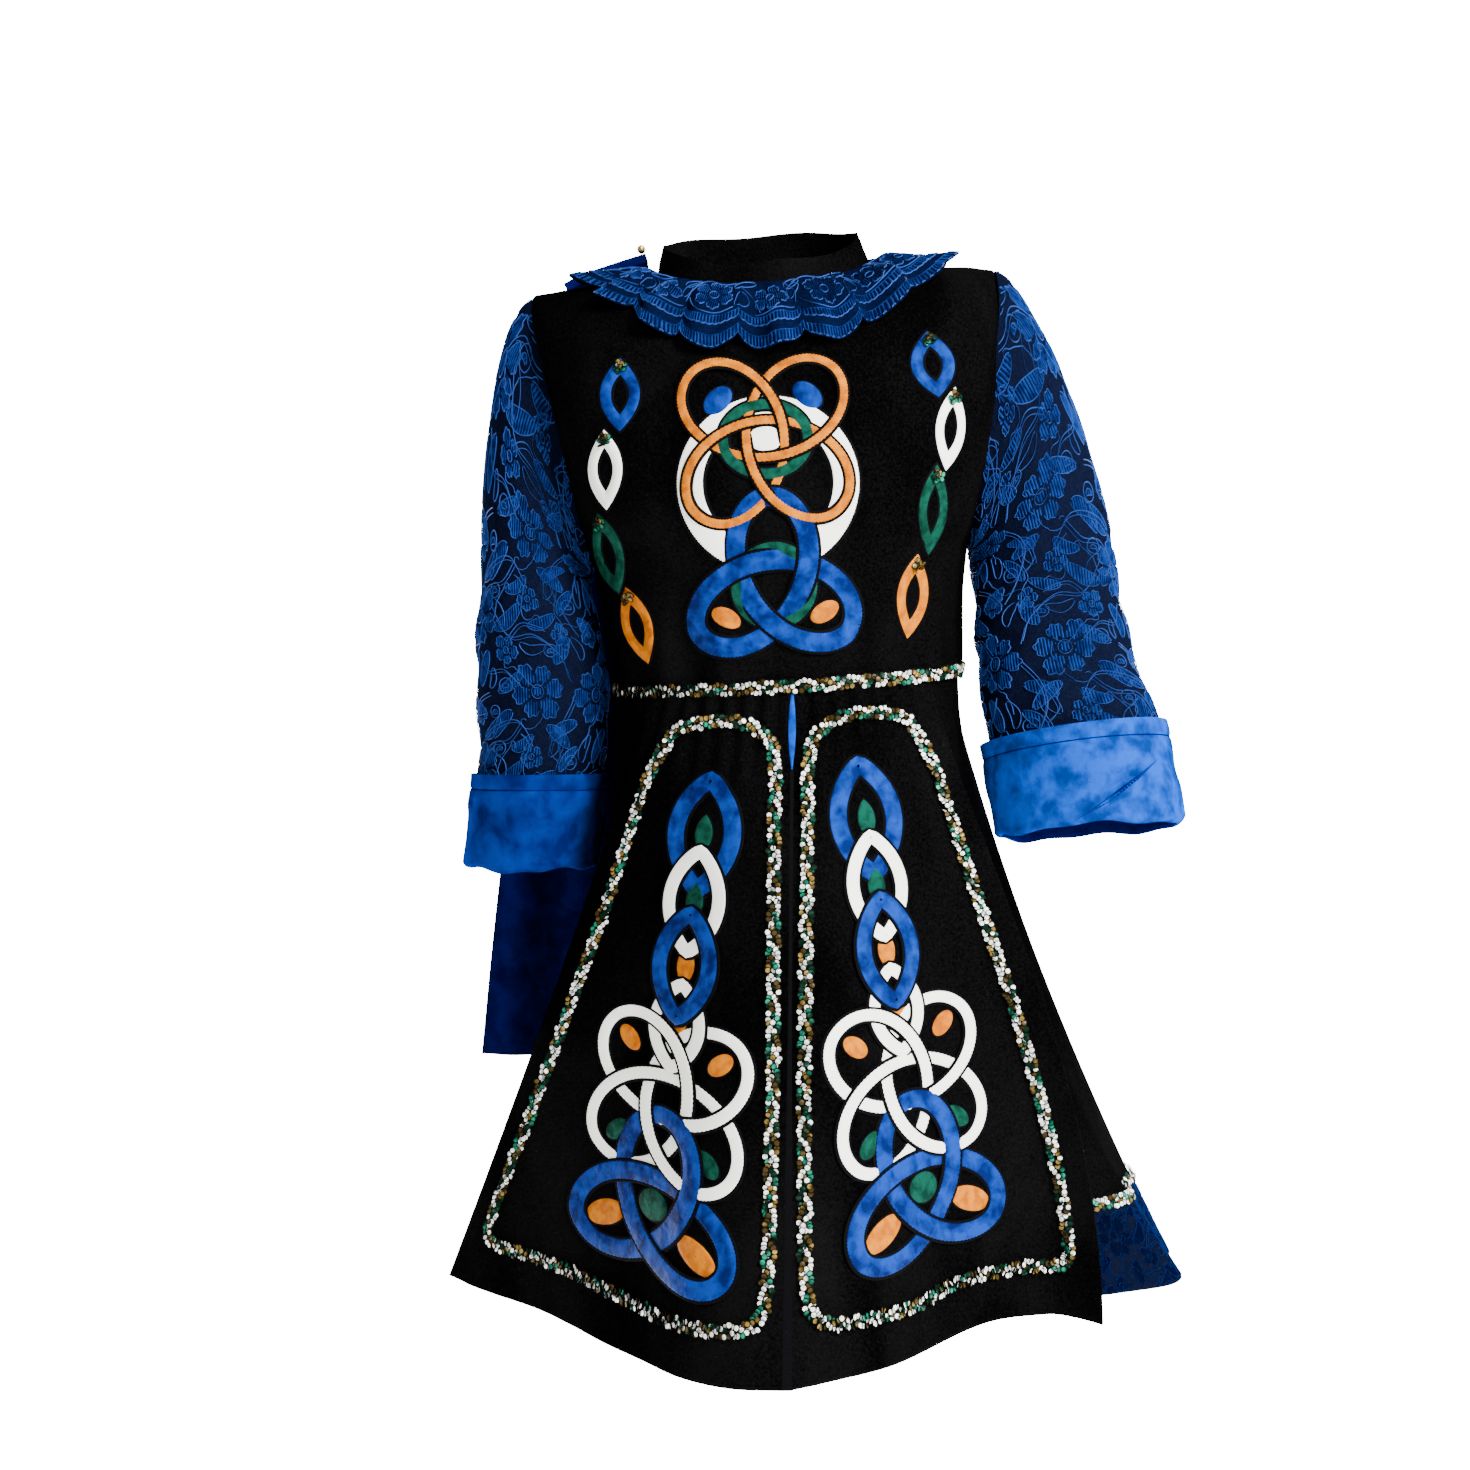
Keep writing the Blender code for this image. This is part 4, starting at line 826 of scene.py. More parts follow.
def edge_calm(relief, low, high):
    """Relief that fades out at the side edges of a wall."""
    def calm(u, v):
        return relief(u, v) * ease(min(u - low, high - u) / 0.12)
    return calm


front_wall = Wall(bodice_skin(True), axis_steps(120, -SIDE, SIDE), axis_steps(84), CHEST,
                  relief=edge_calm(front_relief, -SIDE, SIDE))
front_piece = cloth("front_cloth", front_wall, WOOL, WOOL_BLACK, kept_by(np.minimum, -SEAM / 2))
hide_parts("bodice_front")

CENTRE_GAP = 0.0011  # half of the centre back seam, as an angle
SEAM_TURN = 0.05  # the allowance behind the seam reaches this far on either side
allowance = Wall(bodice_skin(False), axis_steps(6, -SEAM_TURN, SEAM_TURN), axis_steps(56, 0.0, 0.998), CHEST)
allowance_piece = cloth("back_seam_allowance", allowance.moved(-WOOL - SEAM), LACE, WOOL_BLACK)
back_walls = {}
for side, low, high in (("right", -SIDE, -CENTRE_GAP), ("left", CENTRE_GAP, SIDE)):
    wall = Wall(bodice_skin(False), axis_steps(44, low, high), axis_steps(56), CHEST,
                relief=edge_calm(lambda u, v: BACK_RIPPLE * ripple((u, v), 3.5, 4.0), low, high))
    piece = cloth(f"back_cloth_{side}", wall, WOOL, WOOL_BLACK, kept_by(np.maximum, SEAM / 2))
    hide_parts(f"bodice_back_{side}")
    back_walls[side] = wall

front_tree = front_wall.tree()
back_trees = {side: wall.tree() for side, wall in back_walls.items()}


# Collar

def collar_pucker(turn, t):
    return COLLAR_WAVE * t * sin(7 * turn + 0.8) + COLLAR_RIPPLE * ripple((turn, t), 3.0, 9.0)


collar_wall = Wall(collar_point, round_steps(120), axis_steps(9), leaned(0, 0, 0.38), closed=True,
                   relief=collar_pucker)
collar_piece = cloth("collar_cloth", collar_wall, WOOL, WOOL_BLACK)
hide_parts("collar_band")

RUFFLE_WAVES = 18  # scallops round the edge
RUFFLE_FOLDS = 24
RUFFLE_SCALLOP = 0.17  # depth of a scallop, as a share of the ruffle
RUFFLE_DRAWN_IN = {1: 0.93, -1: 0.85}
RUFFLE_DROP = {1: 0.003, -1: 0.012}
RUFFLE_CLEAR = 0.0070  # how far the ruffle lies off the bodice
# Its edge, by degrees from the centre front.
RUFFLE_EDGE = table("turn side y up", [
    (0, 0.000, -0.126, 0.277), (25, 0.064, -0.120, 0.287), (45, 0.098, -0.092, 0.308),
    (65, 0.132, -0.056, 0.334), (85, 0.156, -0.012, 0.358), (100, 0.156, 0.030, 0.362),
    (125, 0.128, 0.084, 0.350), (150, 0.072, 0.116, 0.338), (180, 0.000, 0.125, 0.334),
])
HEART = leaned(0, 0, 0.235)
OFF_SEAM = 0.0008
SHELLS = [
    (front_tree, Vector((0, -OFF_SEAM, 0))),
    (back_trees["right"], Vector((-OFF_SEAM, OFF_SEAM, 0))),
    (back_trees["left"], Vector((OFF_SEAM, OFF_SEAM, 0))),
]


def ruffle_skin(u, v):
    """A lace ruffle on the shoulders with soft folds and a scalloped edge."""
    around = u % tau
    half_turn = around if around <= pi else tau - around
    hand = 1 if around <= pi else -1
    side, y, up = neck_ring(around, grow=0.0030)
    start = leaned(side, y, up + 0.0050)
    if v <= 0:
        return start
    mark = half_turn * 180 / pi
    beside = sin(half_turn) ** 2
    goal = leaned(hand * mix(1, RUFFLE_DRAWN_IN[hand], beside) * along(RUFFLE_EDGE, "side", mark),
                  along(RUFFLE_EDGE, "y", mark), along(RUFFLE_EDGE, "up", mark) - RUFFLE_DROP[hand] * beside)
    wave = RUFFLE_SCALLOP * abs(cos(RUFFLE_WAVES * around / 2)) ** 0.6
    target = start.lerp(goal, mix(0.12, 0.90 + wave, v))
    reach = 0.0
    for tree, aside in SHELLS:
        aim = (target + aside - HEART).normalized()
        hit = tree.ray_cast(HEART + aim * 0.5, -aim, 0.5)[0]
        if hit is not None:
            reach = max(reach, (hit - HEART).length)
    fold = 0.5 + 0.5 * sin(RUFFLE_FOLDS * around + 1.4 * sin(3 * around) + 0.9 * v)
    flare = RUFFLE_FOLD * fold + RUFFLE_WAVE * sin(RUFFLE_WAVES * around + 1.1)
    flare += RUFFLE_RIPPLE * ripple((3 * around, v), 2.3, 2.0)
    return HEART + (target - HEART).normalized() * (reach + RUFFLE_CLEAR + flare * v ** 0.7)


ruffle_wall = Wall(ruffle_skin, round_steps(360), axis_steps(18), HEART, closed=True)
ruffle_piece = cloth("ruffle_net", ruffle_wall, LACE, RUFFLE_NET)
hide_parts("collar_ruffle")


# Sleeves and cuffs

def sleeve_relief(hand):
    def relief(turn, t):
        bend = ease((t - 0.25) / 0.2) * (1 - ease((t - 0.80) / 0.15))
        folds = SLEEVE_FOLD * sin(30 * t + 2.6 * sin(turn + 0.8) + hand) * bend
        wave = ripple((cos(turn) * 1.3, sin(turn) * 1.3 + 6 * t), 1.6, hand) * ease(t / 0.1)
        return folds + SLEEVE_RIPPLE * wave
    return relief


Crease = namedtuple("Crease", "x z far_x far_z deep wide")
CUFF_CREASE = Crease(0.262, -0.4945, 0.338, -0.442, 0.0105, 0.0048)
CUFF_HEM_WAVE = 0.0018
CUFF_INSIDE_SHADE_FROM = 0.86  # shares of the cuff's profile, as CUFF_OUTSIDE
CUFF_SEAM = 0.14
INSIDE_SHADE_OUT = 0.0003
CUFF_SEAM_OUT = 0.0002


def cuff_skin(hand, front_y):
    """The cuff with a wavy lower edge and a slanting crease on its front."""
    crease = CUFF_CREASE
    run = np.array([crease.far_x - crease.x, crease.far_z - crease.z])
    length = np.linalg.norm(run)

    def skin(turn, t):
        point = cuff_point(turn, t, hand)
        wave = CUFF_HEM_WAVE * (sin(4 * turn + hand) + 0.6 * sin(9 * turn)) * ease((t - 0.35) / 0.4)
        if point.y < front_y and t < 0.8:
            off = np.array([point.x * hand - crease.x, point.z - crease.z])
            far = off @ run / length ** 2
            aside = (off[1] * run[0] - off[0] * run[1]) / length / crease.wide
            if 0 < far < 1:
                point.y += crease.deep * aside * np.exp(-aside ** 2) * sin(pi * far)
        return point + Vector((0, 0, wave))
    return skin


def cuff_relief(hand):
    def relief(turn, t):
        if t > CUFF_OUTSIDE:
            return 0.0
        seam = CUFF_SEAM_DENT * np.exp(-((t - CUFF_SEAM) / 0.016) ** 2)
        waves = CUFF_WAVE * sin(3 * turn + 9 * t + hand)
        waves += CUFF_RIPPLE * ripple((turn, 2.4 * t), 1.7, 5.0 + hand)
        return waves * sin(pi * t / CUFF_OUTSIDE) - seam
    return relief


CUFF_TURNS = round_steps(180)
sleeve_walls, cuff_trees = {}, {}
for side, hand, rings in (("left", 1, ARM_LEFT), ("right", -1, ARM_RIGHT)):
    inside = place_in(rings, 0.5)
    wall = Wall(lambda u, v, hand=hand: sleeve_point(u, v, hand), round_steps(96), axis_steps(110, 0, 0.995),
                inside, closed=True, relief=sleeve_relief(hand))
    piece = cloth(f"sleeve_net_{side}", wall, WOOL, NET)
    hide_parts(f"sleeve_{side}")
    sleeve_walls[side] = (wall, piece)
    profile = axis_steps(52, 0, CUFF_OUTSIDE) + axis_steps(6, 0.80, 0.90) + [0.95, 1.0]
    wrist = place_in(rings, 0.9)
    cuff_wall = Wall(cuff_skin(hand, wrist.y), CUFF_TURNS, profile, wrist, closed=True,
                     relief=cuff_relief(hand))
    # The wearer's right cuff takes the darker copy of the satin: painted shade.
    satin = SATIN_BLUE if side == "left" else SATIN_BLUE_SHADED
    cuff_piece = cloth(f"cuff_satin_{side}", cuff_wall, SATIN, satin)
    # Painted shade: a band of the darkest satin over the inside of the cuff, and a strip of it along the
    # seam's dent.
    first = sum(t < CUFF_INSIDE_SHADE_FROM for t in profile)
    facing = cuff_wall.points[first:] + cuff_wall.normals[first:] * INSIDE_SHADE_OUT
    seam = [cuff_wall.at(CUFF_TURNS, edge, CUFF_SEAM_OUT) for edge in (CUFF_SEAM, CUFF_SEAM + 0.010)]
    for part, grid in (("facing", facing), ("seam", seam)):
        strip_piece(f"cuff_{part}_{side}", grid, SATIN_SHADE, closed=True)
    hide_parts(f"cuff_{side}")
    cuff_trees[side] = cuff_wall.tree()


# Skirt

def panel_relief(left):
    def relief(across, down):
        folds = PANEL_FOLD * sin(8 * across + (1.2 if left else 0.4)) * ease(down / 0.5)
        gather = PANEL_GATHER * sin(46 * across) * (1 - ease(down / 0.25)) * ease(across / 0.15)
        wave = PANEL_RIPPLE * ripple((across, down), 3.0, 7.0 + left)
        return (folds + gather + wave) * ease(min(across, 1 - across) / 0.1)
    return relief


FRONT_OF_SKIRT = Vector((0.01, 0.35, -0.6))  # the skirt's front faces away from here
panel_trees = {}
for side, left in (("right", False), ("left", True)):
    def skin(across, down, left=left):
        return panel_point(across, down, left)

    wall = Wall(skin, axis_steps(70, 0.006, 0.997), axis_steps(110, 0.0006, 1.0), FRONT_OF_SKIRT,
                relief=panel_relief(left))
    piece = cloth(f"panel_cloth_{side}", wall, WOOL, WOOL_BLACK)
    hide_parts(f"skirt_front_{side}")
    panel_trees[side] = wall.tree()
    lining_wall = Wall(skin, axis_steps(40, 0.006, 0.980), axis_steps(60, 0.08, 0.996), FRONT_OF_SKIRT,
                       relief=panel_relief(left))
    lining = cloth(f"panel_lining_satin_{side}", lining_wall.moved(-WOOL - SEAM), LACE, SATIN_BLUE)
    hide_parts(f"skirt_lining_{side}")


def inset_skin(u, v):
    return panel_point(abs(u), v, u > 0) + Vector((0, 0.0038 + 0.004 * v, 0))


inset_wall = Wall(inset_skin, axis_steps(24, -0.16, 0.16), axis_steps(50, 0.012, 0.995), FRONT_OF_SKIRT)
inset_piece = cloth("inset_satin", inset_wall, SATIN, SATIN_BLUE)
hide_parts("pleat_inset")

INSIDE_SKIRT = Vector((0.02, 0.06, -0.6))
BAND_OUT = 0.0014


def back_relief(t, down):
    return SKIRT_RIPPLE * ripple((t * 6, down), 2.0, 3.0) * ease(down / 0.2) * ease(min(t, 1 - t) / 0.04)


back_wall = Wall(back_point, axis_steps(190), axis_steps(70, 0.0006, 1.0), INSIDE_SKIRT, relief=back_relief)
back_piece = cloth("back_skirt_cloth", back_wall, WOOL, WOOL_BLACK)
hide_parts("skirt_back")
band_wall = Wall(back_point, axis_steps(190), axis_steps(10, LACE_BAND_FROM, 0.999), INSIDE_SKIRT,
                 relief=back_relief)
band_piece = cloth("hem_band_net", band_wall.moved(BAND_OUT), LACE, NET)
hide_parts("hem_lace_band")


# Shawl

def shawl_skin(u, v):
    return cleared(cape_point(u, v), back_trees.values(), CAPE_CLEAR) if v > 0 else cape_point(u, v)


cape_wall = Wall(shawl_skin, axis_steps(110), axis_steps(90), Vector((0.0, 0.0, -0.4)),
                 relief=lambda u, v: SHAWL_RIPPLE * ripple((u * 2, v * 3), 2.0, 11.0) * ease(v / 0.1))
# The shawl takes the darkest satin: painted shade.
cape_piece = cloth("shawl_satin", cape_wall, SATIN, SATIN_SHADE)
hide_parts("cape")

# The rolled edge takes the darkest satin too: painted shade.
for solid, material in (("cape_roll", SATIN_SHADE), ("cape_fastening", GILT)):
    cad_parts[solid].data.materials.clear()
    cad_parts[solid].data.materials.append(material)


# Lace: threads drawn on a flat repeat in millimetres, then laid on the walls

def turned(angle, reach=1.0):
    return np.array([cos(angle), sin(angle)]) * reach


def passing(a, b, c, d, f):
    """A smooth curve from b to c, with a before and d behind them."""
    square = (2 * a - 5 * b + 4 * c - d) * f * f
    return 0.5 * (2 * b + (c - a) * f + square + (3 * b - a - 3 * c + d) * f ** 3)


def bent_line(points, count=10):
    """A smooth line through a few flat points."""
    points = [np.array(point, float) for point in points]
    spans = len(points) - 1
    line = []
    for k in range(count * spans + 1):
        s = min(k / count, spans - 1e-9)
        i, f = int(s), s - int(s)
        line.append(passing(*(points[min(spans, max(0, i + j))] for j in (-1, 0, 1, 2)), f))
    return np.array(line)


def sideways(line, closed=False):
    """Unit steps sideways from each point of a flat line."""
    run = np.roll(line, -1, axis=0) - np.roll(line, 1, axis=0) if closed else np.gradient(line, axis=0)
    return unit(np.stack([-run[:, 1], run[:, 0]], axis=1))


def lengths_along(line):
    return np.concatenate([[0], np.cumsum(np.linalg.norm(np.diff(line, axis=0), axis=1))])


def between(marks, gone, values):
    """Rows of values at the given lengths."""
    return np.stack([np.interp(marks, gone, column) for column in values.T], axis=1)


def hatched(outline, step=2.9, width=1.7):
    """Ribs that run down a shape, side by side."""
    threads = []
    nexts = np.roll(outline, -1, axis=0)
    for x in np.arange(outline[:, 0].min() + step / 2, outline[:, 0].max(), step):
        met = (outline[:, 0] <= x) != (nexts[:, 0] <= x)
        a, b = outline[met], nexts[met]
        ends = np.sort(a[:, 1] + (x - a[:, 0]) / (b[:, 0] - a[:, 0]) * (b[:, 1] - a[:, 1]))
        for low, high in zip(ends[::2], ends[1::2]):
            threads.append((np.array([[x, low], [x, (low + high) / 2], [x, high]]), width, 0))
    return threads


def flower(middle, radius, petals, turn, step=2.9, width=1.7):
    """Ribbed petals with a lobed, corded rim round an open heart."""
    middle = np.array(middle, float)
    threads = []
    half = 0.86 * pi / petals
    for k in range(petals):
        lean = turn + tau * k / petals
        reach = radius * (1.0, 0.84, 0.93)[k % 3]
        spread = np.linspace(-1, 1, 15)
        tips = [middle + turned(lean + s * half, reach * (1 - 0.24 * s * s + 0.05 * cos(9 * s)))
                for s in spread]
        base = [middle + turned(lean + s * half * 0.8, radius * (0.36 - 0.10 * s * s)) for s in spread[::-1]]
        threads += hatched(np.array(tips + base), step, width)
        threads.append((np.array(tips), 0.8, 1))
    heart, rim = (np.array([middle + turned(a, radius * share) for a in np.linspace(0, tau, count)])
                  for share, count in ((0.15, 13), (0.22, 15)))
    return threads + hatched(heart, step, width) + [(rim, 0.7, 1)]


def ribbon(points, wide, ribbed=True):
    """A leaf or band along a bent line, pointed at both ends, with a thin cord round it."""
    line = bent_line(points)
    swell = np.sin(pi * np.linspace(0.02, 0.98, len(line)))[:, None] ** 0.7 * wide / 2
    rims = [line + sideways(line) * swell, line - sideways(line) * swell]
    threads = [(rim, 0.7, 1) for rim in rims]
    return threads + (hatched(np.concatenate([rims[0], rims[1][::-1]])) if ribbed else [])


LACE_TILE = (147.0, 144.0)
# Flowers of the repeat, with their radius, petals and turn.
FLOWERS = [
    ((36, 34), 31, 7, 0.3), ((112, 104), 29, 6, 0.9), ((78, 66), 15, 5, 0.2),
    ((108, 20), 13, 5, 0.5), ((32, 122), 14, 5, 0.1), ((140, 52), 11, 5, 0.7),
]
BUDS = [(66, 12, 8), (76, 98, 8), (8, 98, 8), (128, 66, 7), (60, 122, 7)]
# Leaves of the repeat, with their width and whether they are ribbed.
LEAVES = [
    ([(64, 46), (82, 40), (100, 24)], 14, True), ([(52, 66), (44, 82), (40, 98)], 14, True),
    ([(8, 60), (-8, 66), (-20, 76)], 13, True), ([(84, 122), (72, 130), (58, 146)], 13, True),
    ([(132, 78), (140, 66), (142, 52)], 14, True), ([(96, 86), (84, 96), (66, 104)], 11, True),
    ([(122, 136), (136, 144), (150, 156)], 12, True), ([(40, 2), (54, -4), (68, -16)], 12, True),
    ([(106, 44), (120, 42), (136, 34)], 11, True), ([(18, 108), (30, 116), (44, 122)], 12, True),
    ([(82, 12), (96, 10), (108, 0)], 11, True), ([(14, 84), (2, 94), (-6, 106)], 11, True),
    ([(60, 20), (72, 30), (78, 44)], 11, False), ([(28, 72), (22, 86), (24, 98)], 11, False),
    ([(128, 20), (134, 8), (130, -4)], 11, False), ([(96, 60), (108, 66), (124, 62)], 9, False),
    ([(58, 82), (60, 92), (56, 100)], 8, False), ([(4, 126), (14, 136), (16, 146)], 10, False),
]
STEMS = [
    [(38, 66), (50, 84), (74, 84), (94, 98)], [(68, 38), (86, 54), (112, 52), (138, 70), (148, 92)],
    [(4, 40), (-8, 60), (-10, 82), (2, 106), (14, 122)], [(94, 132), (78, 148), (54, 152), (38, 170)],
    [(40, 2), (58, -8), (88, -14), (106, 4)], [(22, 122), (36, 110), (54, 104)],
    [(80, 58), (98, 42), (122, 46)], [(140, 26), (128, 14), (134, -6)],
]


def tendril(seed):
    """A thin wandering cord with a curl at its end."""
    dice = np.random.default_rng(100 + seed)
    at = dice.uniform((0, 0), LACE_TILE)
    heading = dice.uniform(0, tau)
    line = [at]
    for step in range(24):
        heading += dice.normal(0, 0.34) + (0.42 if step > 17 else 0.0)
        at = at + turned(heading, 3.2 if step < 18 else 2.0)
        line.append(at)
    return [(np.array(line), 0.7, 1)]


def floral_repeat():
    threads = [thread for row in FLOWERS for thread in flower(*row)]
    for x, y, radius in BUDS:
        ring = np.array([(x + radius * cos(a), y + radius * 0.85 * sin(a)) for a in np.linspace(0, tau, 19)])
        threads += [(ring, 0.8, 1)] + ribbon([(x - 4, y + 2), (x, y), (x + 4, y + 1)], 4)
    for points, wide, ribbed in LEAVES:
        threads += ribbon(points, wide, ribbed)
    for points in STEMS:
        line = bent_line(points)
        threads.append((line, 0.8, 1))
        threads.append((line + np.array([2.2, 2.6]), 0.6, 1))
    for seed in range(7):
        threads += tendril(seed)
    return threads


LACE_LIFT = 0.0003  # threads lie this far off the net, with their middle raised
LACE_HIGH = 0.0009
CORD_HIGHER = 0.0003


def lay_lace(name, wall, threads, place, materials):
    """Threads with a raised middle; `place` turns flat millimetres into the wall's two numbers."""
    flat, heights, quads, kinds, start = [], [], [], [], 0
    for line, width, kind in threads:
        side = sideways(line) * width / 2
        flat.append(np.stack([line - side, line, line + side], axis=1).reshape(-1, 2))
        heights.append(np.tile([LACE_LIFT, LACE_HIGH + CORD_HIGHER * kind, LACE_LIFT], len(line)))
        quads.append(grid_quads(len(line), 3, False, start))
        kinds.append(np.full(len(quads[-1]), kind))
        start += 3 * len(line)
    flat, heights, quads, kinds = (np.concatenate(parts) for parts in (flat, heights, quads, kinds))
    u, v = place(flat)
    inside = (v >= wall.vs[0] + 0.002) & (v <= wall.vs[-1] - 0.0005)
    kept = inside[quads].all(axis=1)
    used, quads = np.unique(quads[kept], return_inverse=True)
    laid_points = wall.at(u[used], v[used], heights[used])
    return mesh_piece(name, laid_points, quads.reshape(-1, 4), materials, picks=kinds[kept])


def shifted(threads, shift):
    return [(line + shift, width, kind) for line, width, kind in threads]


def repeated(columns, rows, drop=0.5):
    """The repeat set side by side, each second column set half a repeat lower."""
    out = []
    for column in range(columns):
        for row in range(-1, rows):
            shift = np.array([column * LACE_TILE[0], (row + drop * (column % 2)) * LACE_TILE[1]])
            out += shifted(FLORAL, shift)
    return out


def down_lengths(wall):
    """How far in millimetres each row of the wall lies below its top."""
    steps = np.linalg.norm(np.diff(wall.points, axis=0), axis=2).mean(axis=1)
    return np.concatenate([[0], np.cumsum(steps)]) * 1000


FLORAL = floral_repeat()
SLEEVE_REPEATS = 3
for side in ("left", "right"):
    wall, piece = sleeve_walls[side]
    lengths = down_lengths(wall)

    def on_sleeve(flat):
        turns = flat[:, 0] / (SLEEVE_REPEATS * LACE_TILE[0]) * tau % tau
        return turns, np.interp(flat[:, 1], lengths, wall.vs, left=-1, right=2)

    lace_piece = lay_lace(f"sleeve_lace_{side}", wall, repeated(SLEEVE_REPEATS, 5), on_sleeve, [THREAD, CORD])

BAND_REPEATS = 15
BAND_TALL = 104.0


def on_band(flat):
    down = flat[:, 1] / BAND_TALL
    return flat[:, 0] / (BAND_REPEATS * LACE_TILE[0]), LACE_BAND_FROM + down * (1 - LACE_BAND_FROM)


band_lace = lay_lace("hem_band_lace", band_wall, repeated(BAND_REPEATS, 1, drop=0.0), on_band,
                     [THREAD_SHADE, CORD_SHADE])

RUFFLE_TALL = 66.0
SCALLOP_WIDE = 46.0
FRINGES = [(57.0, 65.2), (42.0, 49.0)]
FRINGE_STEP = 2.3
RUFFLE_LEAVES = [
    ([(40, 14), (48, 8), (58, 4)], 10), ([(46, 22), (48, 30), (44, 38)], 10),
    ([(84, 16), (90, 10), (98, 6)], 10), ([(4, 10), (-2, 18), (-6, 28)], 9),
]
RUFFLE_STEMS = [
    [(0, 8), (12, 4), (26, 8), (40, 6)], [(44, 14), (56, 24), (62, 38)], [(84, 8), (92, 20), (90, 34)],
    [(2, 30), (12, 38), (26, 40), (42, 38)], [(58, 40), (72, 39), (88, 38)],
]


def ruffle_threads():
    """Two ribbed fringes along the scallops of the edge, with outlined flowers and leaves above them."""
    threads = []
    for low, high in FRINGES:
        for x in np.arange(0, SCALLOP_WIDE * RUFFLE_WAVES, FRINGE_STEP):
            threads.append((np.array([[x, low], [x, (low + high) / 2], [x, high]]), 1.1, 0))
        rim = np.arange(0, SCALLOP_WIDE * RUFFLE_WAVES, FRINGE_STEP / 4)
        teeth = 0.9 * np.abs(np.sin(pi * rim / FRINGE_STEP / 2))
        threads.append((np.stack([rim, high + teeth - 0.6], axis=1), 1.1, 1))
        threads.append((np.stack([rim, np.full(len(rim), low)], axis=1), 0.7, 0))
    for pair in range(RUFFLE_WAVES // 2):
        drawn = flower((24, 22), 17, 6, 0.4, 1.6, 0.6) + flower((70, 26), 14, 5, 0.1, 1.6, 0.6)
        for points, wide in RUFFLE_LEAVES:
            drawn += ribbon(points, wide, ribbed=False)
        drawn += [(bent_line(points), 0.8, 1) for points in RUFFLE_STEMS]
        threads += shifted(drawn, np.array([pair * 2 * SCALLOP_WIDE, 0.0]))
    return threads


def on_ruffle(flat):
    turns = flat[:, 0] / (SCALLOP_WIDE * RUFFLE_WAVES) * tau + pi / RUFFLE_WAVES
    return turns % tau, flat[:, 1] / RUFFLE_TALL


ruffle_lace = lay_lace("ruffle_lace", ruffle_wall, ruffle_threads(), on_ruffle, [THREAD, CORD])


# Sequins

SEQUIN_RADIUS = 0.0031
SEQUIN_STEP = 0.0036
SEQUIN_FLAT = 0.72  # its flat middle, as a share of the disc
SEQUIN_CORNERS = 7
SEQUIN_CUP = 0.0003
SEQUIN_DENT = 0.0004
SEQUIN_LEAN = radians(20)
LEAN_JITTER = 0.20
FACING_JITTER = 0.10
STRAND_SWING = 0.0042
STRAND_PITCH = 0.042
STRAND_TURN = 0.9  # how far the discs turn with their string's swing
STRAND_HIGH = (0.0020, 0.0012)  # middle height of a string, and how far it rises and falls
STRAND_WHITES = (0.0, 0.20, 0.24)  # share of pearl discs in each string
PLACE_JITTER = 0.00055
RANDOM = np.random.default_rng(7)


def sequins_at(places, normals, runs, tilts, picks, name):
    """Small cupped discs; each leans over the one before it."""
    count, rim = len(places), SEQUIN_CORNERS
    normals = normals / np.linalg.norm(normals, axis=1, keepdims=True)
    runs = unit(runs - normals * (runs * normals).sum(axis=1, keepdims=True))
    sides = np.cross(normals, runs)
    faces_up = normals * np.cos(tilts)[:, None] - runs * np.sin(tilts)[:, None]
    forwards = runs * np.cos(tilts)[:, None] + normals * np.sin(tilts)[:, None]
    angles = np.linspace(0, tau, rim, endpoint=False)
    ring = forwards[:, None] * np.cos(angles)[:, None] + sides[:, None] * np.sin(angles)[:, None]
    flat_ring = places[:, None] + ring * SEQUIN_RADIUS * SEQUIN_FLAT
    edge_ring = places[:, None] + ring * SEQUIN_RADIUS - faces_up[:, None] * SEQUIN_CUP
    points = np.concatenate([(places - faces_up * SEQUIN_DENT)[:, None], flat_ring, edge_ring], axis=1)
    here = np.arange(rim) + 1
    after = np.roll(here, -1)
    fan = [np.stack(corners, axis=1) for corners in
           ((np.zeros(rim, int), here, after), (here, here + rim, after + rim), (here, after + rim, after))]
    faces = (np.concatenate(fan)[None] + (np.arange(count) * (2 * rim + 1))[:, None, None]).reshape(-1, 3)
    # Painted shadow: the outer band of every disc takes the dark rim colour, for the shade where the discs
    # overlap.
    flats = np.repeat(np.asarray(picks)[:, None], rim, axis=1)
    colours = np.concatenate([flats, np.full((count, 2 * rim), SHADOW_RIM)], axis=1)
    return mesh_piece(name, points.reshape(-1, 3), faces, SEQUINS, False, colours.ravel())


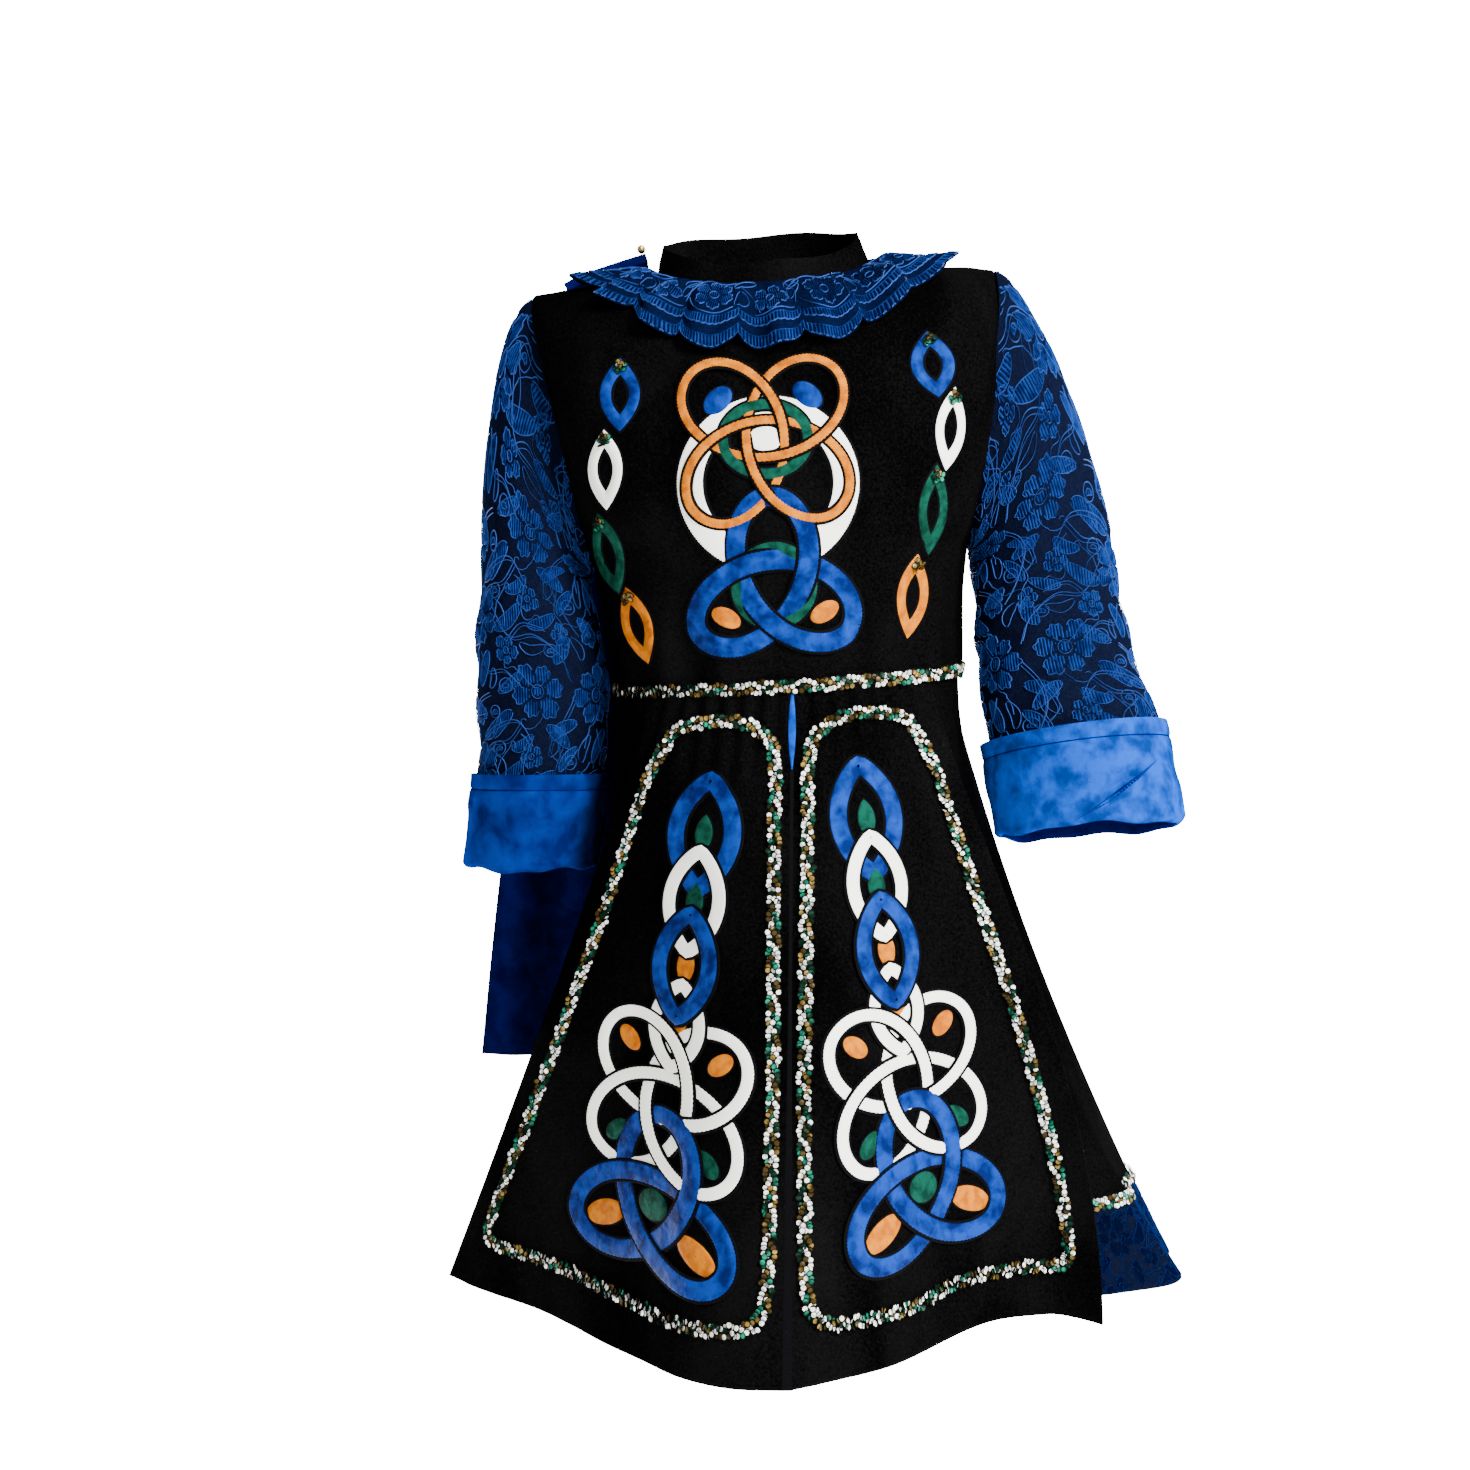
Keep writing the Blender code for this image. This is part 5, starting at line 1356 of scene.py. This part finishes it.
def braid(name, places, normals, node):
    """Three plaited strings of sequins along a line of places on the cloth."""
    places, normals = np.array(places), np.array(normals)
    gone = lengths_along(places)
    marks = np.arange(0, gone[-1], SEQUIN_STEP)
    at = between(marks, gone, places)
    up = unit(between(marks, gone, normals))
    run = unit(np.gradient(at, axis=0))
    side = np.cross(up, run)
    middle, rise = STRAND_HIGH
    strings = []
    for k, whites in enumerate(STRAND_WHITES):
        phase = tau * (marks / STRAND_PITCH + k / 3)
        jitter = RANDOM.normal(0, PLACE_JITTER, (len(marks), 3))
        swing = side * (np.sin(phase) * STRAND_SWING)[:, None]
        high = up * (middle - rise * np.sin(2 * phase))[:, None]
        tilt = SEQUIN_LEAN + RANDOM.normal(0, LEAN_JITTER, len(marks))
        heading = run + side * np.cos(phase)[:, None] * STRAND_TURN
        pick = np.where(RANDOM.random(len(marks)) < whites, PEARL, k)
        facing = up + RANDOM.normal(0, FACING_JITTER, up.shape)
        strings.append((at + swing + high + jitter, facing, heading, tilt, pick))
    piece = sequins_at(*[np.concatenate(parts) for parts in zip(*strings)], name)
    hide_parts(node)
    return piece


def fine_line(path, count):
    return [path(k / count) for k in range(count + 1)]


WAIST_BRAID_OUT = 0.0016
HEM_BRAID_UP = 0.007  # the braid runs above the lace band
PANEL_BRAID_OUT = 0.0006


def waist_normal(t):
    return Vector((sin(t * tau), -cos(t * tau), 0))


def waist_line(t):
    return waist_point(t * tau) + waist_normal(t) * WAIST_BRAID_OUT


braid("waist_sequins", fine_line(waist_line, 300), fine_line(waist_normal, 300), "waist_trim")
hem_at = np.linspace(0.001, 0.999, 600)
hem_v = np.full(600, LACE_BAND_FROM - HEM_BRAID_UP)
hem_places, hem_over = (back_wall.at(hem_at, hem_v, lift) for lift in (0.0008, 0.0018))
braid("hem_sequins", hem_places, hem_over - hem_places, "hem_trim")


def lay(tree, flat, lift=0.0):
    """Points on the cloth seen straight from the front at flat x and z, lifted along the cloth's normal."""
    lifts = np.broadcast_to(lift, len(flat))
    places, normals = [], []
    for (x, z), high in zip(flat, lifts):
        hit, normal, _, _ = tree.ray_cast(Vector((x, -1, z)), Vector((0, 1, 0)))
        if hit is None:
            hit, normal, _, _ = tree.find_nearest(Vector((x, -0.15, z)))
        if normal.y > 0:
            normal = -normal
        places.append(hit + normal * high)
        normals.append(normal)
    return np.array(places), np.array(normals)


# Painted shadow: a thin tapering strip of the darker satin laid just under the crease of the wearer's left
# cuff.
CREASE_LIFT = 0.0005
CREASE_SHADOW = 0.0030
crease_marks = np.linspace(-1, 1, 60)
crease_ends = np.array([[CUFF_CREASE.x, CUFF_CREASE.z], [CUFF_CREASE.far_x, CUFF_CREASE.far_z]])
crease_run = crease_ends[1] - crease_ends[0]
crease_side = np.array([crease_run[1], -crease_run[0]]) / np.linalg.norm(crease_run)
crease_line = crease_ends.mean(axis=0) + crease_marks[:, None] * crease_run / 2
crease_low = crease_line + crease_side * (CREASE_SHADOW * (1 - crease_marks ** 2))[:, None]
crease_rows = [lay(cuff_trees["left"], line, CREASE_LIFT)[0] for line in (crease_line, crease_low)]
strip_piece("cuff_crease_shadow_left", crease_rows, SATIN_BLUE_SHADED)


def closed_smooth(points, count):
    """A smooth closed line through a few flat points, evenly stepped."""
    points = np.array(points, float)
    n = len(points)
    line = []
    for k in range(n * 12):
        line.append(passing(*(points[(k // 12 + j) % n] for j in (-1, 0, 1, 2)), k % 12 / 12))
    line = np.array(line + [line[0]])
    gone = lengths_along(line)
    return between(np.linspace(0, gone[-1], count, endpoint=False), gone, line)


for side in ("right", "left"):
    corners = [panel_point(row.across, row.down, side == "left") for row in BORDER]
    line = closed_smooth([(corner.x, corner.z) for corner in corners], 420)
    places, normals = lay(panel_trees[side], np.concatenate([line, line[:1]]), PANEL_BRAID_OUT)
    braid(f"panel_sequins_{side}", places, normals, f"panel_trim_{side}")


# Centre front: the turned edges meet below the waist, where a little of the pleat's satin shows

def centre_strip(name, downs, half_at, proud, material):
    rows = []
    for down in downs:
        edges = [panel_point(0.006, down, left) for left in (False, True)]
        middle = (edges[0] + edges[1]) / 2
        half = half_at(down)
        rows.append([middle + Vector((half * k, -proud * (1 - 0.7 * k * k), 0))
                     for k in (-1, -0.5, 0, 0.5, 1)])
    return strip_piece(name, rows, material)


def turning_half(down):
    return 0.0016 + 0.0022 * ease((down - 0.4) / 0.6)


def pleat_half(down):
    return 0.0002 + 0.0030 * sin(pi * down / 0.132)


centre_strip("centre_turning", axis_steps(60, 0.11, 1.0), turning_half, 0.0001, STITCH)
centre_strip("pleat_fold", axis_steps(24, 0.004, 0.128), pleat_half, 0.0012, SATIN_BLUE)


# Appliques: satin strands and patches with a black satin-stitched edge

STITCH_OUT = 0.0016
STITCH_IN = 0.0011
STITCH_COMB = 0.0006
# Places across a strand, each with its height.
CROWN = ((-1.0, 0.0), (-0.92, 0.80), (-0.80, 1.0), (0.0, 1.06), (0.80, 1.0), (0.92, 0.80), (1.0, 0.0))
# Shares of a shape's size with their heights, for its stitched edge and for the satin on it.
PATCH = (
    ((1.0, 0.0), (0.97, 0.8), (0.6, 0.9), (0.05, 0.9)),
    ((0.90, 0.0), (0.84, 0.8), (0.6, 1.0), (0.3, 1.0), (0.02, 1.0)),
)
LINK = (
    ((-0.10, 0), (-0.06, 0.8), (0.5, 0.8), (1.12, 0.8), (1.16, 0)),
    ((0.05, 0), (0.12, 0.8), (0.5, 1.0), (0.88, 0.8), (0.95, 0)),
)
# Lift and thickness of the edge and of the satin.
STRAND_LAYERS = ((0.0002, 0.0008), (0.0005, 0.0009))
PATCH_LAYERS = ((0.0002, 0.0006), (0.0005, 0.0009))
LINK_LAYERS = ((0.0002, 0.0007), (0.0006, 0.0010))


class Batch:
    """Faces of one colour gathered into one piece."""

    def __init__(self):
        self.points, self.quads, self.size = [], [], 0

    def add(self, rows, closed):
        rows = np.array(rows)
        self.points.append(rows.reshape(-1, 3))
        self.quads.append(grid_quads(rows.shape[0], rows.shape[1], closed, self.size))
        self.size += rows.shape[0] * rows.shape[1]

    def piece(self, name, material, slot, *nodes):
        made = mesh_piece(name, np.concatenate(self.points), np.concatenate(self.quads), [material])
        if nodes:
            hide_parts(*nodes)
        return made


class Satins:
    """The strands and patches of one applique, gathered by colour, with their stitched edges."""

    def __init__(self, tree):
        self.tree, self.stitch = tree, Batch()
        self.colours = {colour: Batch() for colour in SATINS}

    def layers(self, colour, flat_at, shapes, layers, lift, closed=True):
        """The stitched edge and the satin on it, each drawn through the lines that `flat_at` gives."""
        for batch, shape, (base, thick) in zip((self.stitch, self.colours[colour]), shapes, layers):
            batch.add([lay(self.tree, flat_at(share, batch), lift + base + thick * high)[0]
                       for share, high in shape], closed)

    def strand(self, colour, line, width, lift=0.0, closed=True):
        """A strand with a rounded top along a flat line."""
        side = sideways(line, closed)
        comb = STITCH_COMB * (-1.0) ** np.arange(len(line))

        def flat_at(across, batch):
            wide = width + 2 * STITCH_OUT if batch is self.stitch else (width - STITCH_IN + comb)[:, None]
            return line + side * wide / 2 * across

        self.layers(colour, flat_at, (CROWN, CROWN), STRAND_LAYERS, np.broadcast_to(lift, len(line)), closed)

    def patch(self, colour, outline, lift=0.0):
        """A filled shape inside its outline."""
        middle = outline.mean(axis=0)
        self.layers(colour, lambda size, _: middle + (outline - middle) * size, PATCH, PATCH_LAYERS, lift)

    def edge_piece(self, name):
        self.stitch.piece(f"{name}_stitching", STITCH, "black_wool")

    def colour_pieces(self, name, nodes):
        """`nodes` gives the solids that a colour's piece stands for."""
        for colour, batch in self.colours.items():
            batch.piece(f"{name}_{colour}", SATINS[colour], f"{colour}_satin", *nodes.get(colour, []))


def spun(middle, points, turn):
    c, s = cos(turn), sin(turn)
    return np.array([[middle[0] + x * c - y * s, middle[1] + x * s + y * c] for x, y in points])


def knot_line(row, middle, turn, count):
    """A knot's line, and how far it passes over or under where it crosses itself."""
    big, small = (row.reach + row.inner) / 2, (row.reach - row.inner) / 2
    angles = np.linspace(0, tau, count, endpoint=False)
    points = np.stack([big * np.cos(angles) + small * np.cos((row.loops - 1) * angles),
                       big * np.sin(angles) - small * np.sin((row.loops - 1) * angles)], axis=1)
    return spun(middle, points, turn), 0.0008 * np.tanh(4 * np.sin(row.loops * angles))


def oval_line(middle, wide, tall, turn=0.0, count=160):
    angles = np.linspace(0, tau, count, endpoint=False)
    points = np.stack([wide * np.cos(angles), tall * np.sin(angles)], axis=1)
    return spun(middle, points, turn)


def chain_links():
    """Pointed ovals in four colours, and a cluster of sequins near the top of each."""
    satins = Satins(front_tree)
    spots, picks = [], []
    sweep = np.linspace(1, -1, 46, endpoint=False)
    marks = np.array([(hand * t, hand * (1 - t * t)) for hand in (1, -1) for t in sweep])
    for row in LINKS_RIGHT + LINKS_LEFT:
        top = leaned(row.top_side, 0, row.top_up)
        low = leaned(row.low_side, 0, row.low_up)
        centre = np.array([(top.x + low.x) / 2, (top.z + low.z) / 2])
        reach = np.array([(top.x - low.x) / 2, (top.z - low.z) / 2])
        across = np.array([reach[1], -reach[0]]) / np.linalg.norm(reach) * row.half

        def outline_at(share, _):
            grow_along = mix(1.0, LINK_HOLE_LONG, share)
            grow_across = mix(1.0, LINK_HOLE, share)
            return centre + reach * (marks[:, :1] * grow_along) + across * (marks[:, 1:] * grow_across)

        satins.layers(row.colour, outline_at, LINK, LINK_LAYERS, 0.0)
        for k in range(CLUSTER):
            spots.append(centre + reach * CLUSTER_UP + turned(k * CLUSTER_TURN, CLUSTER_STEP * sqrt(k)))
            picks.append(GREEN_DISC if row.colour != "orange" and k % 3 else BRONZE)
    satins.colour_pieces("links", {colour: [f"link_{colour}_left", f"link_{colour}_right"]
                                   for colour in SATINS})
    satins.edge_piece("links")
    places, normals = lay(front_tree, np.array(spots), CLUSTER_LIFT)
    normals = normals + RANDOM.normal(0, CLUSTER_JITTER, normals.shape)
    sequins_at(places, normals, RANDOM.normal(0, 1, places.shape), np.full(len(places), CLUSTER_LEAN),
               np.array(picks), "links_sequins")


chain_links()

RING_GAP = 26  # points of the ivory ring left out on each side of its opening
EMBLEM_HEART = (0.017, 0.012)
# Leaves at the upper and the lower knot, from its middle.
EMBLEM_LEAVES = table("colour up out wide tall turn", [
    ("blue", 0.036, 0.038, 0.016, 0.011, 0.8),
    ("orange", -0.024, 0.042, 0.015, 0.009, 2.1),
])


def emblem():
    """Rings and knots in four colours in the middle of the bodice front."""
    here = leaned(EMBLEM_SIDE, 0, EMBLEM_UP)
    up = np.array([-sin(LEAN), cos(LEAN)])
    out = np.array([up[1], -up[0]])
    middle = np.array([here.x, here.z])
    upright = pi / 2 + LEAN
    satins = Satins(front_tree)
    broad, high_ring, low_ring = EMBLEM_RINGS
    high_knot, low_knot = EMBLEM_KNOTS
    high, low = middle + up * high_knot.up, middle + up * low_knot.up
    ring = np.roll(oval_line(middle + up * broad.up, broad.wide, broad.tall, count=360), 90, axis=0)
    satins.strand(broad.colour, ring[RING_GAP:-RING_GAP], broad.width, closed=False)
    line, weave = knot_line(low_knot, low, upright, 400)
    satins.strand(low_knot.colour, line, low_knot.width, 0.0014 + weave)
    satins.strand(low_ring.colour, oval_line(low, low_ring.wide, low_ring.tall), low_ring.width, 0.0009)
    line, weave = knot_line(high_knot, high, upright + radians(high_knot.turn), 600)
    satins.strand(high_knot.colour, line, high_knot.width, 0.0016 + weave)
    satins.strand(high_ring.colour, oval_line(high, high_ring.wide, high_ring.tall), high_ring.width, 0.0010)
    for hand in (1, -1):
        for leaf, foot in zip(EMBLEM_LEAVES, (high, low)):
            spot = foot + up * leaf.up + out * hand * leaf.out
            outline = oval_line(spot, leaf.wide, leaf.tall, upright + hand * leaf.turn)
            satins.patch(leaf.colour, outline, 0.0004)
    satins.patch("ivory", oval_line(high, *EMBLEM_HEART), 0.0010)
    satins.edge_piece("emblem")
    satins.colour_pieces("emblem", {"ivory": ["bodice_emblem"]})


emblem()


def pointed_oval(top, low, half):
    """A loop with a point at each end."""
    centre, reach = (top + low) / 2, (top - low) / 2
    across = np.array([reach[1], -reach[0]]) / np.linalg.norm(reach) * half
    sweep = np.linspace(1, -1, 120, endpoint=False)
    return np.array([centre + reach * t * hand + across * hand * (1 - t * t) ** 0.85
                     for hand in (1, -1) for t in sweep])


# Half lengths and half widths of the leaves, and how far they lie off the middle of their knot.
LOOP_LEAF = (0.019, 0.0085)
LOOP_LIFTS = (0.0, 0.0012, 0.0024, 0.0012)
KNOT_LEAF = (0.0135, 0.0085)
KNOT_LEAF_OFF = 0.040
FOOT_LEAF = (0.021, 0.0115)
FOOT_LEAF_OFF = 0.047
FOOT_HEART = (0.014, 0.014)


def panel_motif(side):
    """Interlinked pointed loops down the panel, then a four-loop knot and a three-loop knot."""
    top, low = np.array(MOTIF_TOP[side]), np.array(MOTIF_LOW[side])
    down = (low - top) / np.linalg.norm(low - top)
    out = np.array([-down[1], down[0]])
    upright = np.arctan2(-down[1], -down[0])
    satins = Satins(panel_trees[side])
    for loop, lift in zip(MOTIF_LOOPS, LOOP_LIFTS):
        line = pointed_oval(top + down * loop.start, top + down * loop.stop, loop.half)
        satins.strand(loop.colour, line, loop.width, lift)
        centre = top + down * (loop.start + loop.stop) / 2
        reach = down * LOOP_LEAF[0]
        satins.patch(loop.fill, pointed_oval(centre - reach, centre + reach, LOOP_LEAF[1]), 0.0002)
    four, three = MOTIF_KNOTS
    heart, foot = top - down * four.up, top - down * three.up
    line, weave = knot_line(four, heart, upright + radians(four.turn), 600)
    satins.strand(four.colour, line, four.width, 0.0010 + weave)
    for hand in (1, -1):
        for rise, colour in ((1, "orange"), (-1, "green")):
            spot = heart + (out * hand - down * rise) * KNOT_LEAF_OFF
            satins.patch(colour, oval_line(spot, *KNOT_LEAF, upright - hand * rise * pi / 4), 0.0002)
    line, weave = knot_line(three, foot, upright, 400)
    satins.strand(three.colour, line, three.width, 0.0014 + weave)
    for turn in (2 * pi / 3, -2 * pi / 3):
        spot = foot + turned(upright + turn, FOOT_LEAF_OFF)
        satins.patch("orange", oval_line(spot, *FOOT_LEAF, upright + turn), 0.0002)
    satins.patch("green", oval_line(foot, *FOOT_HEART), 0.0004)
    satins.edge_piece(f"motif_{side}")
    satins.colour_pieces(f"motif_{side}", {"blue": [f"panel_motif_{side}"]})


panel_motif("right")
panel_motif("left")


# Camera, floor and light

IMAGE_MIDDLE = Vector((-0.0294, 0.0, -0.422))
CAMERA_BACK = 1.8
HALF_VIEW = 0.3757  # half of the picture's width over its distance
camera = bpy.data.objects.new("camera", bpy.data.cameras.new("camera"))
camera.data.sensor_width = 36
camera.data.lens = camera.data.sensor_width / 2 / HALF_VIEW
camera.location = IMAGE_MIDDLE - Vector((0, CAMERA_BACK, 0))
camera.rotation_euler = (pi / 2, 0, 0)
bpy.context.scene.collection.objects.link(camera)
bpy.context.scene.camera = camera

# The floor lies where the wearer would stand, and the backdrop is lit from within.
HEM_HEIGHT = 0.62
FLOOR = CAD_BOX[0].z - HEM_HEIGHT
BACKDROP_GLOW = 16.0
BACKDROP = [(1.0, 0.0), (2.0, 0.01), (2.6, 0.06), (3.0, 0.30), (3.2, 0.80), (3.2, 5.2)]


def stage_sheet(name, profile, half, material):
    points = [(x, y, FLOOR + z) for y, z in profile for x in (-half, half)]
    mesh = bpy.data.meshes.new(name)
    mesh.from_pydata(points, [], [(2 * k, 2 * k + 1, 2 * k + 3, 2 * k + 2) for k in range(len(profile) - 1)])
    mesh.materials.append(material)
    mesh.shade_smooth()
    thing = bpy.data.objects.new(name, mesh)
    bpy.context.scene.collection.objects.link(thing)


stage_sheet("floor", [(-4, -0.004), (6, -0.004)], 8, shader("pale_floor", (0.90, 0.90, 0.90), 0.9))
glow = shader("lit_backdrop", (0.9, 0.9, 0.9), 0.9)
glow.node_tree.nodes["Principled BSDF"].inputs["Emission Color"].default_value = (1, 1, 1, 1)
glow.node_tree.nodes["Principled BSDF"].inputs["Emission Strength"].default_value = BACKDROP_GLOW
stage_sheet("backdrop", BACKDROP, 4.0, glow)

world = bpy.data.worlds.new("studio")
world.use_nodes = True
world.node_tree.nodes["Background"].inputs["Color"].default_value = (1.0, 1.0, 1.0, 1)
world.node_tree.nodes["Background"].inputs["Strength"].default_value = 0.22
bpy.context.scene.world = world

LAMPS = table("name place size power", [
    ("key_light", (1.5, -2.0, 0.9), 1.0, 255),
    ("fill_light", (-0.6, -2.4, 0.5), 1.6, 25),
    ("side_light", (1.7, -0.9, -0.3), 0.8, 30),
    ("top_light", (0.1, -0.6, 2.0), 1.2, 25),
])
for lamp in LAMPS:
    light = bpy.data.lights.new(lamp.name, "AREA")
    light.energy = lamp.power
    light.size = lamp.size
    thing = bpy.data.objects.new(lamp.name, light)
    thing.location = lamp.place
    aim = IMAGE_MIDDLE - Vector(lamp.place)
    thing.rotation_euler = aim.to_track_quat("-Z", "Y").to_euler()
    bpy.context.scene.collection.objects.link(thing)
